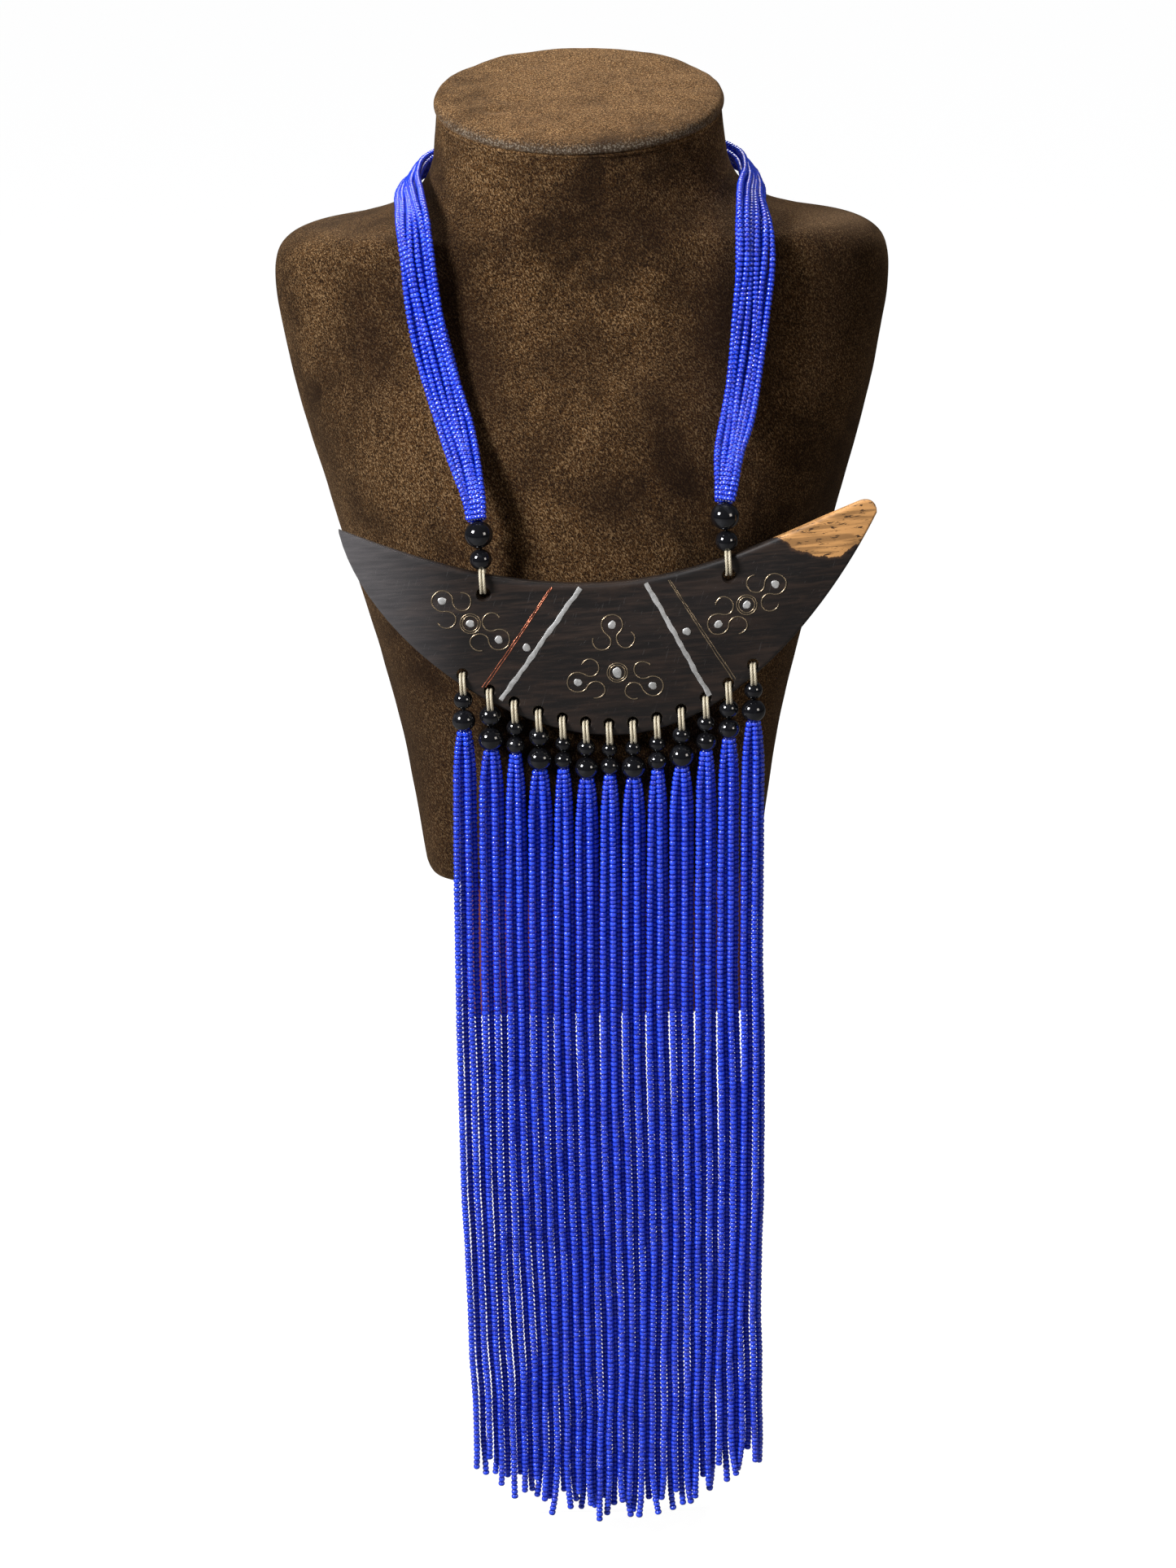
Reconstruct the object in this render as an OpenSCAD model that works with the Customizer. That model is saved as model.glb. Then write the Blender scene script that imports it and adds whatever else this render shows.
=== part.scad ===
// Beaded fringe necklace with a carved ebony crescent, on a velvet display bust.
// Millimetres, +Z up, the front faces -Y, the origin is the middle of the base face.

/* [Bust] */
// Half the width across the shoulders
shoulder_half = 102; // [96:1:108]
// Furthest that the chest stands forward of the middle of the neck
chest_reach = 83; // [76:1:84]
// Half the width of the neck
neck_half = 47; // [42:0.5:49]
// Slope of the cap on top of the neck, in degrees, falling to the front
cap_slope = 12.7; // [0:0.1:15]
// Thickness of the velvet-covered cap
cap_thick = 5; // [3:0.5:7]
// Thickness of the board inside the foot
board_thick = 5; // [3:0.5:8]

/* [Crescent] */
// Distance of the crescent's middle plane in front of the middle of the neck
hang_y = 88.3; // [88.3:0.1:92]
// How far the crescent hangs towards +X of the middle
hang_x = 5.8; // [0:0.1:8]
// Height of the two upper holes' middle above the base
hang_z = 105.3; // [100:0.1:112]
// Slope of the crescent, in degrees, the +X end up
crescent_slope = 3.3; // [0:0.1:4]
// Thickness at the edges
edge_thick = 4; // [3:0.1:4.4]
// Thickness in the middle of the domed board
middle_thick = 7; // [5:0.1:7.6]
// Distance of the upper holes from the middle, along the board
upper_hole_u = 39.5; // [36:0.5:42]
// Diameter of the upper holes
upper_hole_d = 4.2; // [3.8:0.1:4.4]
// Diameter of the holes for the fringe
fringe_hole_d = 3.5; // [3.3:0.1:3.6]
// Height of the fringe holes above the lower edge
hole_margin = 4.2; // [3.8:0.1:4.4]

/* [Beads] */
// Diameters of the large bead on each tassel, from -X to +X
large_beads = [7.6, 8.4, 6.2, 8.2, 6.0, 7.8, 6.2, 8.0, 6.4, 8.2, 6.6, 7.0, 7.8];
// Diameters of the small bead on each tassel, from -X to +X
small_beads = [6.2, 7.2, 5.6, 6.8, 5.2, 6.0, 5.2, 5.4, 5.6, 6.0, 5.8, 6.4, 6.0];
// Gap between neighbouring tassels
tassel_gap = 0.6; // [0.3:0.05:0.6]
// Diameter of the small neck beads
neck_small_d = 7.2; // [6:0.1:7.4]
// Diameter of the large neck beads
neck_large_d = 9.2; // [8:0.1:9.6]
// Diameter of the beads' bores
bead_bore_d = 2; // [1.6:0.1:2.4]
// Diameter of the loop cords
loop_d = 1.1; // [0.9:0.1:1.1]

/* [Strands] */
// Diameter of a strand of seed beads
strand_d = 2.3; // [2:0.1:2.4]
// Length of a fringe strand
fringe_len = 265; // [200:1:280]
// Most by which the fringe strands differ from that length
fringe_vary = 4; // [0:0.5:6]

/* [Hidden] */
tassels = len(large_beads);
strands_each = 4;

velvet = [0.14, 0.09, 0.05];
ebony = [0.07, 0.05, 0.045];
silver = [0.8, 0.8, 0.8];
copper = [0.72, 0.36, 0.24];
brass = [0.62, 0.5, 0.3];
cream = [0.85, 0.8, 0.68];
jet = [0.02, 0.02, 0.025];
cobalt = [0.05, 0.12, 0.85];

// ---- curves -------------------------------------------------------------

// A cubic Bezier through four control points
function bezier(p, steps, first = 0) =
    [for (i = [first:steps]) let (t = i / steps)
        pow(1 - t, 3) * p[0] + 3 * t * pow(1 - t, 2) * p[1]
        + 3 * t * t * (1 - t) * p[2] + pow(t, 3) * p[3]];

// A Catmull-Rom value between rows b and c, with a and d on either side
function catmull(a, b, c, d, t) =
    0.5 * (2 * b + (c - a) * t + (2 * a - 5 * b + 4 * c - d) * t * t
           + (3 * b - a - 3 * c + d) * t * t * t);

// Rows with steps - 1 smooth rows added between each pair
function smooth_rows(rows, steps) =
    let (last = len(rows) - 1)
    concat([for (i = [0:last - 1], k = [0:steps - 1])
        catmull(rows[max(i - 1, 0)], rows[i], rows[i + 1],
                rows[min(i + 2, last)], k / steps)],
        [rows[last]]);

function unit(v) = v / norm(v);

// A solid through equal rings of points; closed joins the last ring to the first
module loft(rings, closed = false) {
    count = len(rings[0]);
    spans = closed ? len(rings) : len(rings) - 1;
    sides = [for (i = [0:spans - 1], k = [0:count - 1])
        let (a = i * count, b = ((i + 1) % len(rings)) * count, n = (k + 1) % count)
        each [[a + k, b + k, b + n], [a + k, b + n, a + n]]];
    ends = closed ? [] : [
        [for (k = [0:count - 1]) k],
        [for (k = [count - 1:-1:0]) (len(rings) - 1) * count + k]];
    polyhedron([for (r = rings) each r], concat(ends, sides), convexity = 8);
}

// ---- bust ---------------------------------------------------------------

// Rows up the bust: height, half width, front, back, roundness, share of the cap's slope
bust_rows = [
    [0, 56, 76.5, 26, 7, 0],
    [5, 57, 77.5, 27, 6.5, 0],
    [20, 59.6, 79.2, 28, 5.2, 0],
    [42, 63.8, 81.6, 29, 3.9, 0],
    [66, 70.4, chest_reach, 30, 3.1, 0],
    [92, 78.5, chest_reach, 31, 2.6, 0],
    [115, 85.5, 80.5, 32, 2.4, 0],
    [137, 92, 74, 33, 2.3, 0],
    [156, 97, 65, 33, 2.25, 0],
    [172, 100, 53.5, 33, 2.25, 0],
    [184, shoulder_half, 47.5, 33, 2.3, 0],
    [195, shoulder_half, 44.5, 33, 2.35, 0],
    [202, shoulder_half - 3, 43.2, 33, 2.35, 0],
    [206.5, shoulder_half - 11, 42.6, 33.5, 2.3, 0],
    [209, 77, 42.3, 34, 2.2, 0],
    [212.5, 64, 42, 35, 2.1, 0],
    [218, 54.5, 41.5, 37, 2.05, 0.1],
    [226, neck_half + 2.4, 41, 39, 2, 0.35],
    [236, neck_half + 0.8, 40.6, 40, 2, 0.75],
    [244, neck_half, 40.3, 40.3, 2, 1]];
ring_points = 48;

// One ring of the bust, drawn in by inset
function bust_ring(row, inset = 0) =
    [for (k = [0:ring_points - 1])
        let (a = 360 * k / ring_points,
             e = 2 / row[4],
             x = (row[1] - inset) * sign(cos(a)) * pow(abs(cos(a)), e),
             deep = (sin(a) < 0 ? row[2] : row[3]) - inset,
             y = deep * sign(sin(a)) * pow(abs(sin(a)), e))
        [x, y, row[0] + row[5] * tan(cap_slope) * y]];

module bust_form() {
    color(velvet)
        difference() {
            loft([for (r = smooth_rows(bust_rows, 2)) bust_ring(r)]);
            translate([0, 0, -1])
                linear_extrude(board_thick + 1.1)
                    polygon([for (p = bust_ring(bust_rows[0], 3.9)) [p.x, p.y]]);
        }
}

module base_board() {
    color([0.6, 0.48, 0.34])
        linear_extrude(board_thick)
            polygon([for (p = bust_ring(bust_rows[0], 4)) [p.x, p.y]]);
}

// An ellipse parallel to the cap, grown by grow and raised by up
function cap_ring(grow, up) =
    let (top = bust_rows[len(bust_rows) - 1])
    [for (k = [0:ring_points - 1])
        let (a = 360 * k / ring_points,
             x = (top[1] + grow) * cos(a),
             y = (top[2] + grow) * sin(a))
        [x, y, top[0] + up + tan(cap_slope) * y]];

module neck_cap() {
    color(velvet * 1.4)
        loft([cap_ring(-1.4, 0.2), cap_ring(-1.4, 1), cap_ring(0.2, 1.2),
              cap_ring(0.9, 2.2), cap_ring(0.6, cap_thick - 1.2),
              cap_ring(-0.8, cap_thick), cap_ring(-6, cap_thick + 0.3),
              cap_ring(-20, cap_thick + 0.6)]);
}

module cap_piping() {
    piping_d = 1.5;
    color(velvet)
        loft([for (r = [0:7])
            let (a = 45 * r)
            cap_ring(-0.5 + piping_d / 2 * cos(a), 0.3 + piping_d / 2 * sin(a))],
            closed = true);
}

// ---- crescent -----------------------------------------------------------

// The board's own plane is u along it and w up it, from the upper holes' middle
function placed(p) =
    [hang_x + p.x * cos(crescent_slope) - p.y * sin(crescent_slope),
     hang_z + p.x * sin(crescent_slope) + p.y * cos(crescent_slope)];

end_left = -84;
end_right = 88;
middle_u = 2;
top_curve = concat(
    bezier([[end_left, 25], [-58, 12], [-30, 0.9], [middle_u, 0.9]], 24),
    bezier([[middle_u, 0.9], [34, 0.9], [60, 14], [83, 21.6]], 24, 1),
    bezier([[83, 21.6], [85.6, 22.4], [87.6, 21], [end_right, 18.8]], 6, 1));
low_curve = concat(
    bezier([[end_left, 23.8], [-79, -10], [-36, -50.5], [middle_u, -50.5]], 24),
    bezier([[middle_u, -50.5], [42, -50.5], [75, -6], [end_right, 17.4]], 24, 1));

// Half the board's thickness at u, at the share s of the way from its lower edge
function half_thick(u, s) =
    let (along = abs((u - middle_u) / (end_right - middle_u)),
         ends = 1 - 0.4 * pow(min(along, 1), 6),
         rim = s < 0.01 || s > 0.99 ? 0.5 : s < 0.05 || s > 0.95 ? 0.86 : 1,
         dome = pow(sin(180 * s), 2) * (1 - pow(min(along, 1), 2)))
    (edge_thick / 2 * rim + (middle_thick - edge_thick) / 2 * dome) * ends;

function share(u, w) =
    (w - lookup(u, low_curve)) / (lookup(u, top_curve) - lookup(u, low_curve));

// The Y of the board's front face at u, w
function face_y(u, w) = -hang_y - half_thick(u, share(u, w));

across = [0, 0.03, 0.1, 0.3, 0.5, 0.7, 0.9, 0.97, 1];

function board_ring(u) =
    let (low = lookup(u, low_curve), high = lookup(u, top_curve), n = len(across))
    concat(
        [for (s = across) let (p = placed([u, low + (high - low) * s]))
            [p.x, -hang_y - half_thick(u, s), p.y]],
        [for (i = [n - 1:-1:0]) let (s = across[i], p = placed([u, low + (high - low) * s]))
            [p.x, -hang_y + half_thick(u, s), p.y]]);

// A hole along Y through the board
module drill(p, d) {
    translate([p.x, -hang_y, p.y])
        rotate([90, 0, 0])
            cylinder(h = middle_thick + 2, d = d, center = true, $fn = 48);
}

module crescent() {
    stations = 44;
    color(ebony)
        difference() {
            loft([for (i = [0:stations])
                board_ring(end_left + (end_right - end_left) * (1 - cos(180 * i / stations)) / 2)]);
            for (side = [-1, 1])
                drill(placed([side * upper_hole_u, 0.6]), upper_hole_d);
            for (i = [0:tassels - 1])
                drill(fringe_hole(i), fringe_hole_d);
        }
}

// ---- inlays -------------------------------------------------------------

inlay_deep = 0.7;
inlay_proud = 0.12;

// A strip let into the face between two points of the board, wide across
module face_strip(from, to, wide) {
    steps = 10;
    along = unit(to - from);
    aside = [-along.y, along.x] * wide / 2;
    loft([for (i = [0:steps])
        let (c = from + (to - from) * i / steps, y = face_y(c.x, c.y),
             a = placed(c + aside), b = placed(c - aside))
        [[a.x, y - inlay_proud, a.y], [a.x, y + inlay_deep, a.y],
         [b.x, y + inlay_deep, b.y], [b.x, y - inlay_proud, b.y]]]);
}

module silver_strips() {
    color(silver) {
        face_strip([-8.4, 0.2], [-37, -35.2], 1.5);
        face_strip([12.8, 0.2], [30.6, -39], 1.5);
    }
}

// Pairs of thin lines outside the strips
module copper_lines() {
    for (side = [-0.55, 0.55]) {
        color(copper) face_strip([-17.6 + side, 1], [-42 + side, -30.6], 0.4);
        color(brass) face_strip([20.2 + side, 0.6], [38.8 + side, -34], 0.4);
    }
}

// Places its children on the board's face at c, with local Z pointing out of the face
module on_face(c) {
    p = placed(c);
    translate([p.x, face_y(c.x, c.y), p.y])
        rotate([0, -crescent_slope, 0])
            rotate([90, 0, 0])
                children();
}

dot_d = 2.6;
left_motif = [[-52.9, -0.6], [-44.5, -8.7], [-35.8, -14.7]];
right_motif = [[54.1, -3.2], [44.5, -9.3], [35, -15]];
middle_motif = [[0.9, -12.7], [-11.5, -31], [12.5, -34]];
middle_dot = [1.4, -28.6];
lone_dots = [[-27.1, -18], [24.7, -16.6]];

module silver_dots() {
    color(silver) {
        for (c = concat(left_motif, right_motif, middle_motif, lone_dots))
            on_face(c)
                translate([0, 0, -inlay_deep])
                    cylinder(h = inlay_deep + inlay_proud, d = dot_d, $fn = 32);
        on_face(middle_dot)
            translate([0, 0, -inlay_deep])
                cylinder(h = inlay_deep + inlay_proud, d = dot_d * 1.3, $fn = 32);
    }
}

wire_wide = 0.45;

// An arc of wire of radius r, from one angle through sweep, let into the face at c
module wire_arc(c, r, from = 0, sweep = 360) {
    on_face(c)
        rotate([0, 0, from])
            rotate_extrude(angle = sweep, $fn = 48)
                translate([r - wire_wide / 2, -inlay_deep])
                    square([wire_wide, inlay_deep + inlay_proud]);
}

// Bearing of the way from a to b, in degrees
function bearing(a, b) = atan2(b.y - a.y, b.x - a.x);

// The wire round an end dot: open towards the middle, with a curl at each side of the opening.
// The three lengths stop a little short of each other.
module curled_end(dot, middle) {
    way = bearing(dot, middle);
    bow_r = 3.4;
    curl_r = 2.9;
    half_opening = 38;
    short = 8;
    wire_arc(dot, bow_r, way + half_opening + short, 360 - 2 * (half_opening + short));
    for (side = [-1, 1]) {
        out = way + side * half_opening;
        wire_arc(dot + (bow_r + curl_r) * [cos(out), sin(out)], curl_r,
                 side > 0 ? out + 180 + short : out - 60, 240 - short);
    }
}

// A rosette: two rings round the middle dot, and a curled end at each outer dot
module scrolls(middle, ends) {
    color(brass) {
        wire_arc(middle, 2.5);
        wire_arc(middle, 3.2);
        for (dot = ends)
            curled_end(dot, middle);
    }
}

module wire_scrolls_left() { scrolls(left_motif[1], [left_motif[0], left_motif[2]]); }
module wire_scrolls_middle() { scrolls(middle_dot, middle_motif); }
module wire_scrolls_right() { scrolls(right_motif[1], [right_motif[0], right_motif[2]]); }

// ---- neck loops, beads and strands --------------------------------------

// A loop of cord round the edge of the board, in the plane across it, about its own middle
module cord_ring(p, r, tilt = 0) {
    translate([p.x, -hang_y, p.y])
        rotate([0, -tilt, 0])
            rotate([0, 90, 0])
                rotate_extrude($fn = 48)
                    translate([r, 0])
                        circle(d = loop_d, $fn = 24);
}

// A round bead at a point, bored along its string
module bead(p, d, tilt = 0) {
    translate([p.x, -hang_y, p.y])
        rotate([0, -tilt, 0])
            difference() {
                sphere(d = d, $fn = 48);
                cylinder(h = d + 1, d = bead_bore_d, center = true, $fn = 24);
            }
}

neck_loop_r = 4.2;
neck_pivot_w = 0.6 + neck_loop_r;
neck_small_w = 11.6;
neck_large_w = neck_small_w + (neck_small_d + neck_large_d) / 2 + 0.05;

module neck_loops() {
    color(cream)
        for (side = [-1, 1])
            cord_ring(placed([side * upper_hole_u, neck_pivot_w]), neck_loop_r, crescent_slope);
}

module neck_beads_small() {
    color(jet)
        for (side = [-1, 1])
            bead(placed([side * upper_hole_u, neck_small_w]), neck_small_d, crescent_slope);
}

module neck_beads_large() {
    color(jet)
        for (side = [-1, 1])
            bead(placed([side * upper_hole_u, neck_large_w]), neck_large_d, crescent_slope);
}

// The way round the neck, from the left large bead to the right one.
// Each row is x, y, z, the outward direction, and the bundle's half width and half depth.
neck_route = [
    [-35.4, -87.8, 127.2, 0, -1, 0.1, 3.6, 3],
    [-36.4, -84, 134.5, 0, -1, 0.5, 4.4, 2.7],
    [-38.6, -77, 143, 0, -0.95, 0.6, 5.4, 2.4],
    [-41.5, -68.5, 152, -0.05, -0.9, 0.6, 6.4, 2.3],
    [-45, -59.8, 163, -0.2, -0.85, 0.55, 7, 2.3],
    [-48.6, -52, 176, -0.25, -0.85, 0.45, 7.3, 2.3],
    [-51.6, -46.5, 190, -0.25, -0.9, 0.3, 7.3, 2.3],
    [-53.3, -43.2, 202.6, -0.35, -0.85, 0.45, 7.3, 2.3],
    [-54.4, -35, 212.7, -0.5, -0.7, 0.7, 7.3, 2.3],
    [-55.5, -22, 217.9, -0.65, -0.25, 0.8, 6.4, 2.3],
    [-56.3, -6, 221, -0.75, 0, 0.7, 5.8, 2.3],
    [-51.8, 16, 223, -0.75, 0.35, 0.5, 5.6, 2.3],
    [-35.4, 35.8, 224.4, -0.55, 0.8, 0.2, 6.2, 2.3],
    [0, 44.4, 225, 0, 1, 0.15, 6.2, 2.3],
    [35.4, 35.8, 224.4, 0.55, 0.8, 0.2, 6.2, 2.3],
    [52.6, 16, 223.2, 0.75, 0.35, 0.5, 5.6, 2.3],
    [56.4, -6, 221.1, 0.75, 0, 0.7, 5.8, 2.3],
    [55.7, -22, 217.9, 0.65, -0.25, 0.8, 6.4, 2.3],
    [55.9, -34.8, 212.6, 0.5, -0.7, 0.7, 7.3, 2.3],
    [55.8, -42.8, 202.4, 0.35, -0.85, 0.45, 7.3, 2.3],
    [54.8, -46.5, 190, 0.25, -0.9, 0.3, 7.3, 2.3],
    [53.2, -52, 176, 0.25, -0.85, 0.45, 7.3, 2.3],
    [51, -59.8, 163, 0.2, -0.85, 0.55, 7, 2.3],
    [48.8, -68.5, 153, 0.05, -0.9, 0.6, 6.4, 2.3],
    [46.6, -77, 145.5, 0, -0.95, 0.6, 5.4, 2.4],
    [45, -84, 138, 0, -1, 0.5, 4.4, 2.7],
    [43.9, -87.8, 131.8, 0, -1, 0.1, 3.6, 3]];
neck_rows = smooth_rows(neck_route, 2);

function xyz(row) = [row[0], row[1], row[2]];

// A ring round the bundle of strands, flat against the bust
function bundle_ring(i) =
    let (last = len(neck_rows) - 1,
         here = neck_rows[i],
         ahead = unit(xyz(neck_rows[min(i + 1, last)]) - xyz(neck_rows[max(i - 1, 0)])),
         side = unit(cross(ahead, [here[3], here[4], here[5]])),
         up = cross(side, ahead))
    [for (k = [0:11])
        xyz(here) + here[6] * cos(30 * k) * side + here[7] * sin(30 * k) * up];

// The strands side by side in two layers, as the one closed shape that holds them
module neck_strands() {
    color(cobalt)
        loft([for (i = [0:len(neck_rows) - 1]) bundle_ring(i)]);
}

// ---- tassels ------------------------------------------------------------

loop_r = 3.6;
small_drop = 9.2;

function total(list, count) = count == 0 ? 0 : list[count - 1] + total(list, count - 1);

// Distance from the first tassel's middle to tassel i's, side by side with a gap
function along_fringe(i) =
    total(large_beads, i + 1) - large_beads[i] / 2 - large_beads[0] / 2 + i * tassel_gap;

function tassel_x(i) = hang_x - along_fringe(tassels - 1) / 2 + along_fringe(i);

low_edge = [for (p = low_curve) placed(p)];
function fringe_hole(i) = [tassel_x(i), lookup(tassel_x(i), low_edge) + hole_margin];
function pivot(i) = fringe_hole(i) - [0, loop_r];
function small_at(i) = fringe_hole(i) - [0, small_drop];
function large_at(i) = small_at(i) - [0, (small_beads[i] + large_beads[i]) / 2 + 0.05];

module tassel_loop(i) {
    color(cream) cord_ring(pivot(i), loop_r);
}

module tassel_beads(i) {
    color(jet) {
        bead(small_at(i), small_beads[i]);
        bead(large_at(i), large_beads[i]);
    }
}

// Strand k of tassel i: its sideways place, its depth and its length
function strand_x(i, k) =
    (2 * k / (strands_each - 1) - 1) * (large_beads[i] - strand_d) / 2;
function strand_y(k) = k % 2 == 0 ? -1.2 : 1.2;
function strand_len(i, k) =
    fringe_len + fringe_vary * sin(137 * (i * strands_each + k));

module tassel_strands(i) {
    r = large_beads[i] / 2;
    color(cobalt)
        for (k = [0:strands_each - 1]) {
            off = min(norm([strand_x(i, k), strand_y(k)]), r - 0.2);
            top = large_at(i).y - sqrt(r * r - off * off) - 0.2;
            long = strand_len(i, k);
            translate([large_at(i).x + strand_x(i, k), -hang_y + strand_y(k),
                       large_at(i).y - r - long])
                cylinder(h = top - (large_at(i).y - r - long), d = strand_d, $fn = 24);
        }
}

bust_form();
neck_cap();
cap_piping();
base_board();
crescent();
silver_strips();
copper_lines();
silver_dots();
wire_scrolls_left();
wire_scrolls_middle();
wire_scrolls_right();
neck_loops();
neck_beads_small();
neck_beads_large();
neck_strands();
for (i = [1:tassels]) {
    tassel_loop(i - 1);
    tassel_beads(i - 1);
    tassel_strands(i - 1);
}
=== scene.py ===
"""Finishes a beaded fringe necklace with an ebony crescent, on its velvet display bust."""

import math

import bpy
import numpy as np
from mathutils import Euler, Matrix, Vector, noise


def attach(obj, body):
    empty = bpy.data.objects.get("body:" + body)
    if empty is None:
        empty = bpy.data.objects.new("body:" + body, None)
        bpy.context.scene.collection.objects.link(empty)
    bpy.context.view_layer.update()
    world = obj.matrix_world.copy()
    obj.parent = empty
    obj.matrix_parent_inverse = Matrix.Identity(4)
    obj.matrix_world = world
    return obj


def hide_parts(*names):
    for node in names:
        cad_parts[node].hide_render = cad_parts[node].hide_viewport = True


bl_info = {
    "name": "Beaded fringe necklace",
    "version": (1, 0, 0),
    "blender": (4, 5, 0),
    "location": "3D View > Sidebar > Necklace",
    "description": "Builds a beaded fringe necklace with an ebony crescent on a velvet bust",
    "category": "Add Mesh",
}

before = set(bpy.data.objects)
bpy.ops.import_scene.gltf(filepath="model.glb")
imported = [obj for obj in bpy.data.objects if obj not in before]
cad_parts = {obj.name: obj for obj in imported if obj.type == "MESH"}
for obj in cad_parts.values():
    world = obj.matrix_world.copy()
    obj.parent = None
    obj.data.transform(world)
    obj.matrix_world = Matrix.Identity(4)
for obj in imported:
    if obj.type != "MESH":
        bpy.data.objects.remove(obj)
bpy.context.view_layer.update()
MM = 0.001
FLOOR_Z = -0.24     # in metres, below the tips of the fringe
TASSELS = 13


# ---- Numbers shared by the pieces, in millimetres ---------------------------------------

HANG = (5.8, -88.3, 105.3)      # the point midway between the crescent's upper holes
SLOPE = math.radians(3.3)       # how far the crescent leans, the +X end up
END_LEFT, END_RIGHT, MIDDLE = -84.0, 88.0, 2.0
EDGE_THICK, MIDDLE_THICK = 4.0, 7.0
UPPER_HOLE_U, UPPER_HOLE_D, FRINGE_HOLE_D, HOLE_MARGIN = 39.5, 4.2, 3.5, 4.2
LARGE_BEADS = [7.6, 8.4, 6.2, 8.2, 6.0, 7.8, 6.2, 8.0, 6.4, 8.2, 6.6, 7.0, 7.8]
SMALL_BEADS = [6.2, 7.2, 5.6, 6.8, 5.2, 6.0, 5.2, 5.4, 5.6, 6.0, 5.8, 6.4, 6.0]
LOOP_R, SMALL_DROP, TASSEL_GAP = 3.6, 9.2, 0.6
NECK_LOOP_R, NECK_SMALL_D, NECK_LARGE_D = 4.2, 7.2, 9.2
FRINGE_LONG, FRINGE_VARY = 265.0, 4.0
BEAD_BORE = 2.0
NECK_BEAD_W = 11.6              # the height of a small neck bead over the crescent's upper holes
CORD_APART = 0.56               # from a doubled cord's middle to each of its two cords
STRANDS, NECK_STRANDS, FRONT_STRANDS = 4, 11, 6

# Rows up the bust: height, half width, front, back, roundness, share of the cap's slope
BUST_ROWS = [
    [0, 56, 76.5, 26, 7, 0], [5, 57, 77.5, 27, 6.5, 0], [20, 59.6, 79.2, 28, 5.2, 0],
    [42, 63.8, 81.6, 29, 3.9, 0], [66, 70.4, 83, 30, 3.1, 0], [92, 78.5, 83, 31, 2.6, 0],
    [115, 85.5, 80.5, 32, 2.4, 0], [137, 92, 74, 33, 2.3, 0], [156, 97, 65, 33, 2.25, 0],
    [172, 100, 53.5, 33, 2.25, 0], [184, 102, 47.5, 33, 2.3, 0], [195, 102, 44.5, 33, 2.35, 0],
    [202, 99, 43.2, 33, 2.35, 0], [206.5, 91, 42.6, 33.5, 2.3, 0], [209, 77, 42.3, 34, 2.2, 0],
    [212.5, 64, 42, 35, 2.1, 0], [218, 54.5, 41.5, 37, 2.05, 0.1],
    [226, 49.4, 41, 39, 2, 0.35], [236, 47.8, 40.6, 40, 2, 0.75], [244, 47, 40.3, 40.3, 2, 1]]
CAP_SLOPE = math.tan(math.radians(12.7))

# The way round the neck: x, y, z, outward direction, half width and half depth of the bundle
NECK_ROUTE = [
    [-35.4, -87.8, 127.2, 0, -1, 0.1, 3.6, 3], [-36.4, -84, 134.5, 0, -1, 0.5, 4.4, 2.7],
    [-38.6, -77, 143, 0, -0.95, 0.6, 5.4, 2.4], [-41.5, -68.5, 152, -0.05, -0.9, 0.6, 6.4, 2.3],
    [-45, -59.8, 163, -0.2, -0.85, 0.55, 7, 2.3], [-48.6, -52, 176, -0.25, -0.85, 0.45, 7.3, 2.3],
    [-51.6, -46.5, 190, -0.25, -0.9, 0.3, 7.3, 2.3], [-53.3, -43.2, 202.6, -0.35, -0.85, 0.45, 7.3, 2.3],
    [-54.4, -35, 212.7, -0.5, -0.7, 0.7, 7.3, 2.3], [-55.5, -22, 217.9, -0.65, -0.25, 0.8, 6.4, 2.3],
    [-56.3, -6, 221, -0.75, 0, 0.7, 5.8, 2.3], [-51.8, 16, 223, -0.75, 0.35, 0.5, 5.6, 2.3],
    [-35.4, 35.8, 224.4, -0.55, 0.8, 0.2, 6.2, 2.3], [0, 44.4, 225, 0, 1, 0.15, 6.2, 2.3],
    [35.4, 35.8, 224.4, 0.55, 0.8, 0.2, 6.2, 2.3], [52.6, 16, 223.2, 0.75, 0.35, 0.5, 5.6, 2.3],
    [56.4, -6, 221.1, 0.75, 0, 0.7, 5.8, 2.3], [55.7, -22, 217.9, 0.65, -0.25, 0.8, 6.4, 2.3],
    [55.9, -34.8, 212.6, 0.5, -0.7, 0.7, 7.3, 2.3], [55.8, -42.8, 202.4, 0.35, -0.85, 0.45, 7.3, 2.3],
    [54.8, -46.5, 190, 0.25, -0.9, 0.3, 7.3, 2.3], [53.2, -52, 176, 0.25, -0.85, 0.45, 7.3, 2.3],
    [51, -59.8, 163, 0.2, -0.85, 0.55, 7, 2.3], [48.8, -68.5, 153, 0.05, -0.9, 0.6, 6.4, 2.3],
    [46.6, -77, 145.5, 0, -0.95, 0.6, 5.4, 2.4], [45, -84, 138, 0, -1, 0.5, 4.4, 2.7],
    [43.9, -87.8, 131.8, 0, -1, 0.1, 3.6, 3]]

# The inlay on the crescent's face, in the board's own plane: along it and up it
SILVER_STRIPS = [((-8.4, 0.2), (-37, -35.2)), ((12.8, 0.2), (30.6, -39))]
COPPER_LINE, BRASS_LINE = ((-17.6, 1), (-42, -30.6)), ((20.2, 0.6), (38.8, -34))
LEFT_MOTIF = [(-52.9, -0.6), (-44.5, -8.7), (-35.8, -14.7)]
RIGHT_MOTIF = [(54.1, -3.2), (44.5, -9.3), (35, -15)]
MIDDLE_MOTIF = [(0.9, -12.7), (-11.5, -31), (12.5, -34)]
MIDDLE_DOT = (1.4, -28.6)
LONE_DOTS = [(-27.1, -18), (24.7, -16.6)]
STRIP_WIDE, LINE_WIDE, LINE_APART, DOT_D, MIDDLE_DOT_D = 1.5, 0.3, 0.55, 2.6, 3.0
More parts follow.
